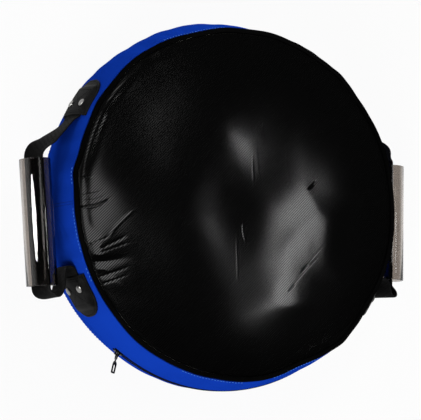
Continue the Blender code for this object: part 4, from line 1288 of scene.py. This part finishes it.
STITCHES, maker, given = new_tree(
    "stitches", Pitch="Float", Length="Float", Thickness="Float", Thread="Material"
)
curve = maker.node("GeometryNodeMeshToCurve", {}, {"Mesh": given["Geometry"]})
spacing = {"Curve": curve, "Length": given["Pitch"]}
spaced = maker.node("GeometryNodeResampleCurve", {"mode": "LENGTH"}, spacing)
bead = maker.node("GeometryNodeMeshUVSphere", {}, {"Segments": 6, "Rings": 5, "Radius": 0.5})
size = maker.join(given["Thickness"], given["Thickness"], given["Length"])
thread = maker.node("GeometryNodeTransform", {}, {"Geometry": bead, "Scale": size})
turn = turn_to(maker, maker.node("GeometryNodeInputTangent"))
put_on_points(maker, spaced, thread, turn, given["Thread"])


def set_inputs(step, values):
    """Set a Geometry Nodes modifier's inputs by their sockets' identifiers."""
    for item in step.node_group.interface.items_tree:
        if item.in_out == "INPUT" and item.name in values:
            step[item.identifier] = values[item.name]


def stitch_line(name, paths, thread, slot_name, pitch, length, thickness):
    """Stitches along several paths of points, as one piece of the shield. Sizes are in mm."""
    points, edges = [], []
    for path in paths:
        start = len(points)
        points += [tuple(p) for p in path]
        edges += [(i, i + 1) for i in range(start, len(points) - 1)]
    data = bpy.data.meshes.new(name)
    data.from_pydata(points, edges, [])
    made = new_object(name, data, thread)
    step = made.modifiers.new("stitches", "NODES")
    step.node_group = STITCHES
    sizes = {"Pitch": pitch * MM, "Length": length * MM, "Thickness": thickness * MM}
    set_inputs(step, {**sizes, "Thread": thread})
    settle(made)
    return dress(made, "shield", slot_name)


print("stitch tree nodes", len(STITCHES.nodes))

# %% [markdown]
# ## Patch stitching
# Each patch is sewn round its edge, and a box with a cross goes through the webbing's tail under it.
# A bump could draw such stitches, but raised threads catch the light and keep their outline from the
# side. The same tree makes them, and only the paths are new.

# %% Patch stitching: the edge, the box and the cross
PATH_STEP = 1.5 * MM
EDGE_INSET = 3 * MM
STITCH_DEPTH = 0.05 * MM
BOX_LOW, BOX_HIGH, BOX_HALF = 6 * MM, 38 * MM, 17 * MM


def patch_path(handle, up, corners):
    """A path over the leather through (along, across) corners."""
    path = []
    for (a, b), (c, d) in zip(corners, corners[1:]):
        count = max(2, int(math.hypot(c - a, d - b) / PATH_STEP))
        for t in [i / count for i in range(count)]:
            path.append((a + t * (c - a), b + t * (d - b)))
    return [patch_point(handle, up, *spot, LEATHER - STITCH_DEPTH) for spot in [*path, corners[-1]]]


along_edge = np.linspace(EDGE_INSET, PATCH_LENGTH - EDGE_INSET, 60)
outline = [(along, patch_half_width(along, EDGE_INSET)) for along in along_edge]
edge = [(a, -h) for a, h in outline] + [(a, h) for a, h in reversed(outline)]
edge.append(edge[0])
corners = [(BOX_LOW, -BOX_HALF), (BOX_HIGH, -BOX_HALF), (BOX_HIGH, BOX_HALF), (BOX_LOW, BOX_HALF)]
lines = [edge, [*corners, corners[0]], [corners[0], corners[2]], [corners[1], corners[3]]]
for handle, up, label in PATCHES:
    paths = [patch_path(handle, up, line) for line in lines]
    stitch_line(f"stitches_{label}", paths, black_thread, "leather", 3.2, 2.6, 0.75)

# %% [markdown]
# ## Seam stitches and the wall's join
# The face's seam shows as small light-blue stitches on the wall's side of the piping, in the places
# where the pull of the filling opens it. The wall's join has two lines of dark-blue thread.


# %% Seam and join stitches
def wall_path(angles, heights, lift):
    """Points over the wall's skin, for equally long lists of angles (degrees) and heights."""
    radius = 1 + lift / float(wall_radius(HANDLE_HEIGHT))
    return wall_skin(np.radians(angles), np.asarray(heights)) * np.array([radius, radius, 1])


# Where the blue thread of the face's seam comes to light, from and to angle in degrees.
SEAM_ARCS = (
    (172.6, 177.0), (185.0, 198.2), (203.8, 207.6), (250, 271), (283, 300), (60, 66), (96, 118),
)

arcs = []
for first, last in SEAM_ARCS:
    turns = np.linspace(first, last, 60)
    arcs.append(wall_path(turns, np.full_like(turns, WALL_HIGH - 1.2 * MM), 0.3 * MM))
stitch_line("seam_stitches_face", arcs, blue_thread, "blue_vinyl", 4.2, 2.7, 1.3)
turns = np.linspace(0, 360, 900)
seam = wall_path(turns, np.full_like(turns, WALL_LOW + 1.6 * MM), 0.15 * MM)
stitch_line("seam_stitches_back", [seam], blue_thread, "blue_vinyl", 4.6, 2.2, 0.9)
heights = np.linspace(WALL_LOW + 2 * MM, WALL_HIGH - 2 * MM, 60)
join = math.degrees(WALL_JOIN_ANGLE)
rows = [wall_path(np.full_like(heights, join + side * 0.42), heights, 0.1 * MM) for side in (-1, 1)]
stitch_line("join_stitches", rows, join_thread, "blue_vinyl", 3.2, 3.0, 0.8)

# %% [markdown]
# ## Zip teeth
# The zip's two coils lie side by side on the line where the tapes meet. Each coil is a row of nylon
# loops, and the stitch tree makes them too: short beads, taller than long, half a step apart.

# %% Zip teeth
TOOTH_PITCH = 2
COIL_RADIUS = 245.5 * MM
COIL_OFFSET = 1.5 * MM
for name, side in (("front", 1), ("rear", -1)):
    shift = side * TOOTH_PITCH * MM / 4 / COIL_RADIUS
    turns = np.linspace(ZIP_START - 0.012, ZIP_END, 400) + shift
    row = around(COIL_RADIUS, turns, ZIP_HEIGHT + side * COIL_OFFSET)
    teeth = stitch_line(f"zip_teeth_{name}", [row], zip_coil, "zip_coil", TOOTH_PITCH, 1.5, 2.4)
    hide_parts(f"zip_coil_{name}")
    print(teeth.name, "faces", len(teeth.data.polygons))

# %% [markdown]
# ## Rivets
# A rivet's head is a shallow dome with a soft rim. All eight are the same, so Geometry Nodes put one
# head on each of eight points. Each point carries the direction out of the wall as an attribute, and
# the tree turns the head to it.

# %% Rivet heads
# The head's outline from below to above: radius, height (mm).
HEAD_OUTLINE = (
    (0.0, -1.2), (3.6, -1.2), (4.6, -1.0), (5.0, -0.5), (5.0, 0.1), (4.85, 0.45), (4.4, 0.75),
    (3.6, 1.05), (2.6, 1.3), (1.4, 1.45), (0.0, 1.5),
)
HEAD_LIFT = PATCH_LIFT + LEATHER + GAP + 0.3 * MM
head = spin("rivet_head", [(r * MM, z * MM) for r, z in HEAD_OUTLINE], nickel, steps=32, sharp=180)
RIVETS, maker, given = new_tree("rivets", Metal="Material")
out_of_wall = maker.node(
    "GeometryNodeInputNamedAttribute", {"data_type": "FLOAT_VECTOR"}, {"Name": "out"}
)
info = maker.node("GeometryNodeObjectInfo", {}, {"Object": head}, out="Geometry")
put_on_points(maker, given["Geometry"], info, turn_to(maker, out_of_wall), given["Metal"])

spots, outs, nodes = [], [], []
for handle, up, label in PATCHES:
    turn = up * (PATCH_EDGE_ANGLE + RIVET_SETBACK / float(wall_radius(HANDLE_HEIGHT)))
    for side, end in ((1, "front"), (-1, "rear")):
        height = HANDLE_HEIGHT + side * RIVET_SPACING / 2
        out = Vector((handle.side * math.cos(turn), math.sin(turn), -float(wall_slope(height))))
        outs.append(out.normalized())
        spots.append(handle.on_wall(turn, height, 0) + outs[-1] * HEAD_LIFT)
        nodes.append(f"rivet_{label}_{end}")
data = bpy.data.meshes.new("rivets")
data.from_pydata([tuple(s) for s in spots], [], [])
attribute = data.attributes.new("out", "FLOAT_VECTOR", "POINT")
attribute.data.foreach_set("vector", np.array([tuple(o) for o in outs], np.float32).ravel())
rivets = new_object("rivet_heads", data, nickel)
step = rivets.modifiers.new("rivets", "NODES")
step.node_group = RIVETS
set_inputs(step, {"Metal": nickel})
settle(rivets)
bpy.data.objects.remove(head, do_unlink=True)
dress(rivets, "shield", "nickel", *nodes)

# %% [markdown]
# ## Finishes for the CAD pieces that stay
# Backings, washers, zip tapes, slider and pull have the right shape in the CAD. A new mesh would add
# nothing, so they keep theirs and get a finish in their material slots.

# %% Finish the CAD pieces
CAD_FINISHES = {
    "backing": leather, "washer": nickel, "zip_tape": zip_tape, "zip_slider": black_enamel,
    "zip_pull": black_enamel,
}
for node in frame["nodes"]:
    for word, finish in CAD_FINISHES.items():
        if word in node:
            materials = bpy.data.objects[node].data.materials
            materials.clear()
            materials.append(finish)
shown = [o.name for o in bpy.data.objects if o.name in frame["nodes"] and not o.hide_render]
print("CAD pieces shown", len(shown))

# %% [markdown]
# ## Camera
# The photograph was taken from the left and a little below the middle of the shield. A long lens far
# away keeps the sides nearly parallel, as there. The camera looks along the line that fits the two
# ellipses of the rim and of the wall.

# %% Camera
PHOTO_SIZE = (421, 420)
VIEW_TURN = math.radians(26.4)
VIEW_RISE = math.radians(-6.15)
VIEW_ROLL = math.radians(0.27)
VIEW_CENTRE = (221, 206.5)
FOCAL_PIXELS = 1860
VIEW_DISTANCE = 2.5
TARGET = Vector((0, 0, 0.06))


def facing(spot, back, roll=0.0):
    """The placement of a camera or light at a spot, with its back towards a direction."""
    side = Vector((0, 1, 0)).cross(back).normalized()
    turn = Matrix((side, back.cross(side), back)).transposed()
    return Matrix.Translation(spot) @ turn.to_4x4() @ Matrix.Rotation(roll, 4, "Z")


sideways = -math.sin(VIEW_TURN) * math.cos(VIEW_RISE)
away = Vector((sideways, math.sin(VIEW_RISE), math.cos(VIEW_TURN) * math.cos(VIEW_RISE)))
lens_data = bpy.data.cameras.new("camera")
lens_data.sensor_width = 36
lens_data.lens = FOCAL_PIXELS * lens_data.sensor_width / PHOTO_SIZE[0]
lens_data.shift_x = (PHOTO_SIZE[0] / 2 - VIEW_CENTRE[0]) / PHOTO_SIZE[0]
lens_data.shift_y = (VIEW_CENTRE[1] - PHOTO_SIZE[1] / 2) / PHOTO_SIZE[0]
lens_data.clip_end = 50
camera = bpy.data.objects.new("camera", lens_data)
bpy.context.scene.collection.objects.link(camera)
camera.matrix_world = facing(TARGET + VIEW_DISTANCE * away, away, VIEW_ROLL)
bpy.context.scene.camera = camera
print("lens", round(lens_data.lens, 1), "shift", round(lens_data.shift_x, 4), round(lens_data.shift_y, 4))

# %% [markdown]
# ## Studio
# The floor is pale and stays white to the camera through Light Path, while it still takes the shadow.
# The glossy face mirrors two soft boxes, one in its right half and one at its left rim. Two more, low
# and high, light the blue wall and are hidden from mirrors. An oval one draws the bright line on the
# left tube.

# %% Floor, world and lights
NEAR = 2.2
FAR = 4.5
FLOOR_HALF = 4.0
FLOOR_DROP = 0.2 * MM
FLOOR_GLOW = 0.94


def soft_box(name, direction, distance, width, height, strength, aim=(0, 0, 0.1), shape="RECTANGLE"):
    data = bpy.data.lights.new(name, "AREA")
    data.shape = shape
    data.size, data.size_y = width, height
    data.energy = strength * width * height * math.pi
    made = bpy.data.objects.new(name, data)
    bpy.context.scene.collection.objects.link(made)
    back = Vector(direction).normalized()
    made.matrix_world = facing(Vector(aim) + back * distance, back)
    return made


data = bpy.data.meshes.new("floor")
corners = [(x * FLOOR_HALF, y * FLOOR_HALF, -FLOOR_DROP) for x, y in ((-1, -1), (1, -1), (1, 1), (-1, 1))]
data.from_pydata(corners, [], [(0, 1, 2, 3)])
floor_paint, maker, shader = material(
    "floor_paint", Base_Color=grey(0.82), Roughness=0.9, Specular_IOR_Level=0.1
)
rays = maker.node("ShaderNodeLightPath").socket.node.outputs
seen, mirrored, through = [
    Link(maker, rays[f"Is {kind} Ray"]) for kind in ("Camera", "Glossy", "Transmission")
]
share = (seen + mirrored + through).math("MINIMUM", 1.0) * FLOOR_GLOW
glow = maker.node("ShaderNodeEmission", {}, {"Color": grey(1.0), "Strength": 1.0})
join_shaders(maker, share, Link(maker, shader.outputs[0]), glow)
floor = new_object("floor", data, floor_paint)

world = bpy.data.worlds.new("studio")
bpy.context.scene.world = world
world.use_nodes = True
world.node_tree.nodes.clear()
maker = Maker(world.node_tree)
x, y, z = maker.split(maker.node("ShaderNodeTexCoord", out="Generated"))
overhead = maker.mix(maker.ramp(y - 0.5 * x, -0.5, 0.3), grey(0.003), grey(0.022))
sky = maker.mix(maker.ramp(z, 0.1, 0.62), grey(1.0), overhead)
light = maker.node("ShaderNodeBackground", {}, {"Color": sky, "Strength": 1.0})
maker.node("ShaderNodeOutputWorld", {}, {"Surface": light})


def aimed(turn, rise):
    """A direction turned from +Z towards +X and then towards +Y, in degrees."""
    return math.tan(math.radians(turn)), math.tan(math.radians(rise)), 1.0


soft_box("soft_box_right", aimed(30.7, 1.0), NEAR, 0.24, 0.67, 5.6)
soft_box("soft_box_left", aimed(3.7, 11.3), NEAR, 0.58, 1.3, 1.9)
for name, direction, width, height, strength in (
    ("soft_box_low", (-0.46, -0.74, 0.52), 2.4, 1.8, 10.0),
    ("soft_box_high", (0.3, 0.8, 0.52), 2.0, 1.4, 9.6),
):
    fill = soft_box(name, direction, FAR, width, height, strength)
    fill.visible_glossy = False
tube_light = soft_box(
    "soft_box_tube", aimed(-49.5, 1.0), NEAR, 1.2, 1.0, 24.0, aim=(-0.27, -0.02, 0.1), shape="ELLIPSE"
)
tube_light.visible_diffuse = False
bpy.context.scene.view_settings.view_transform = "Standard"
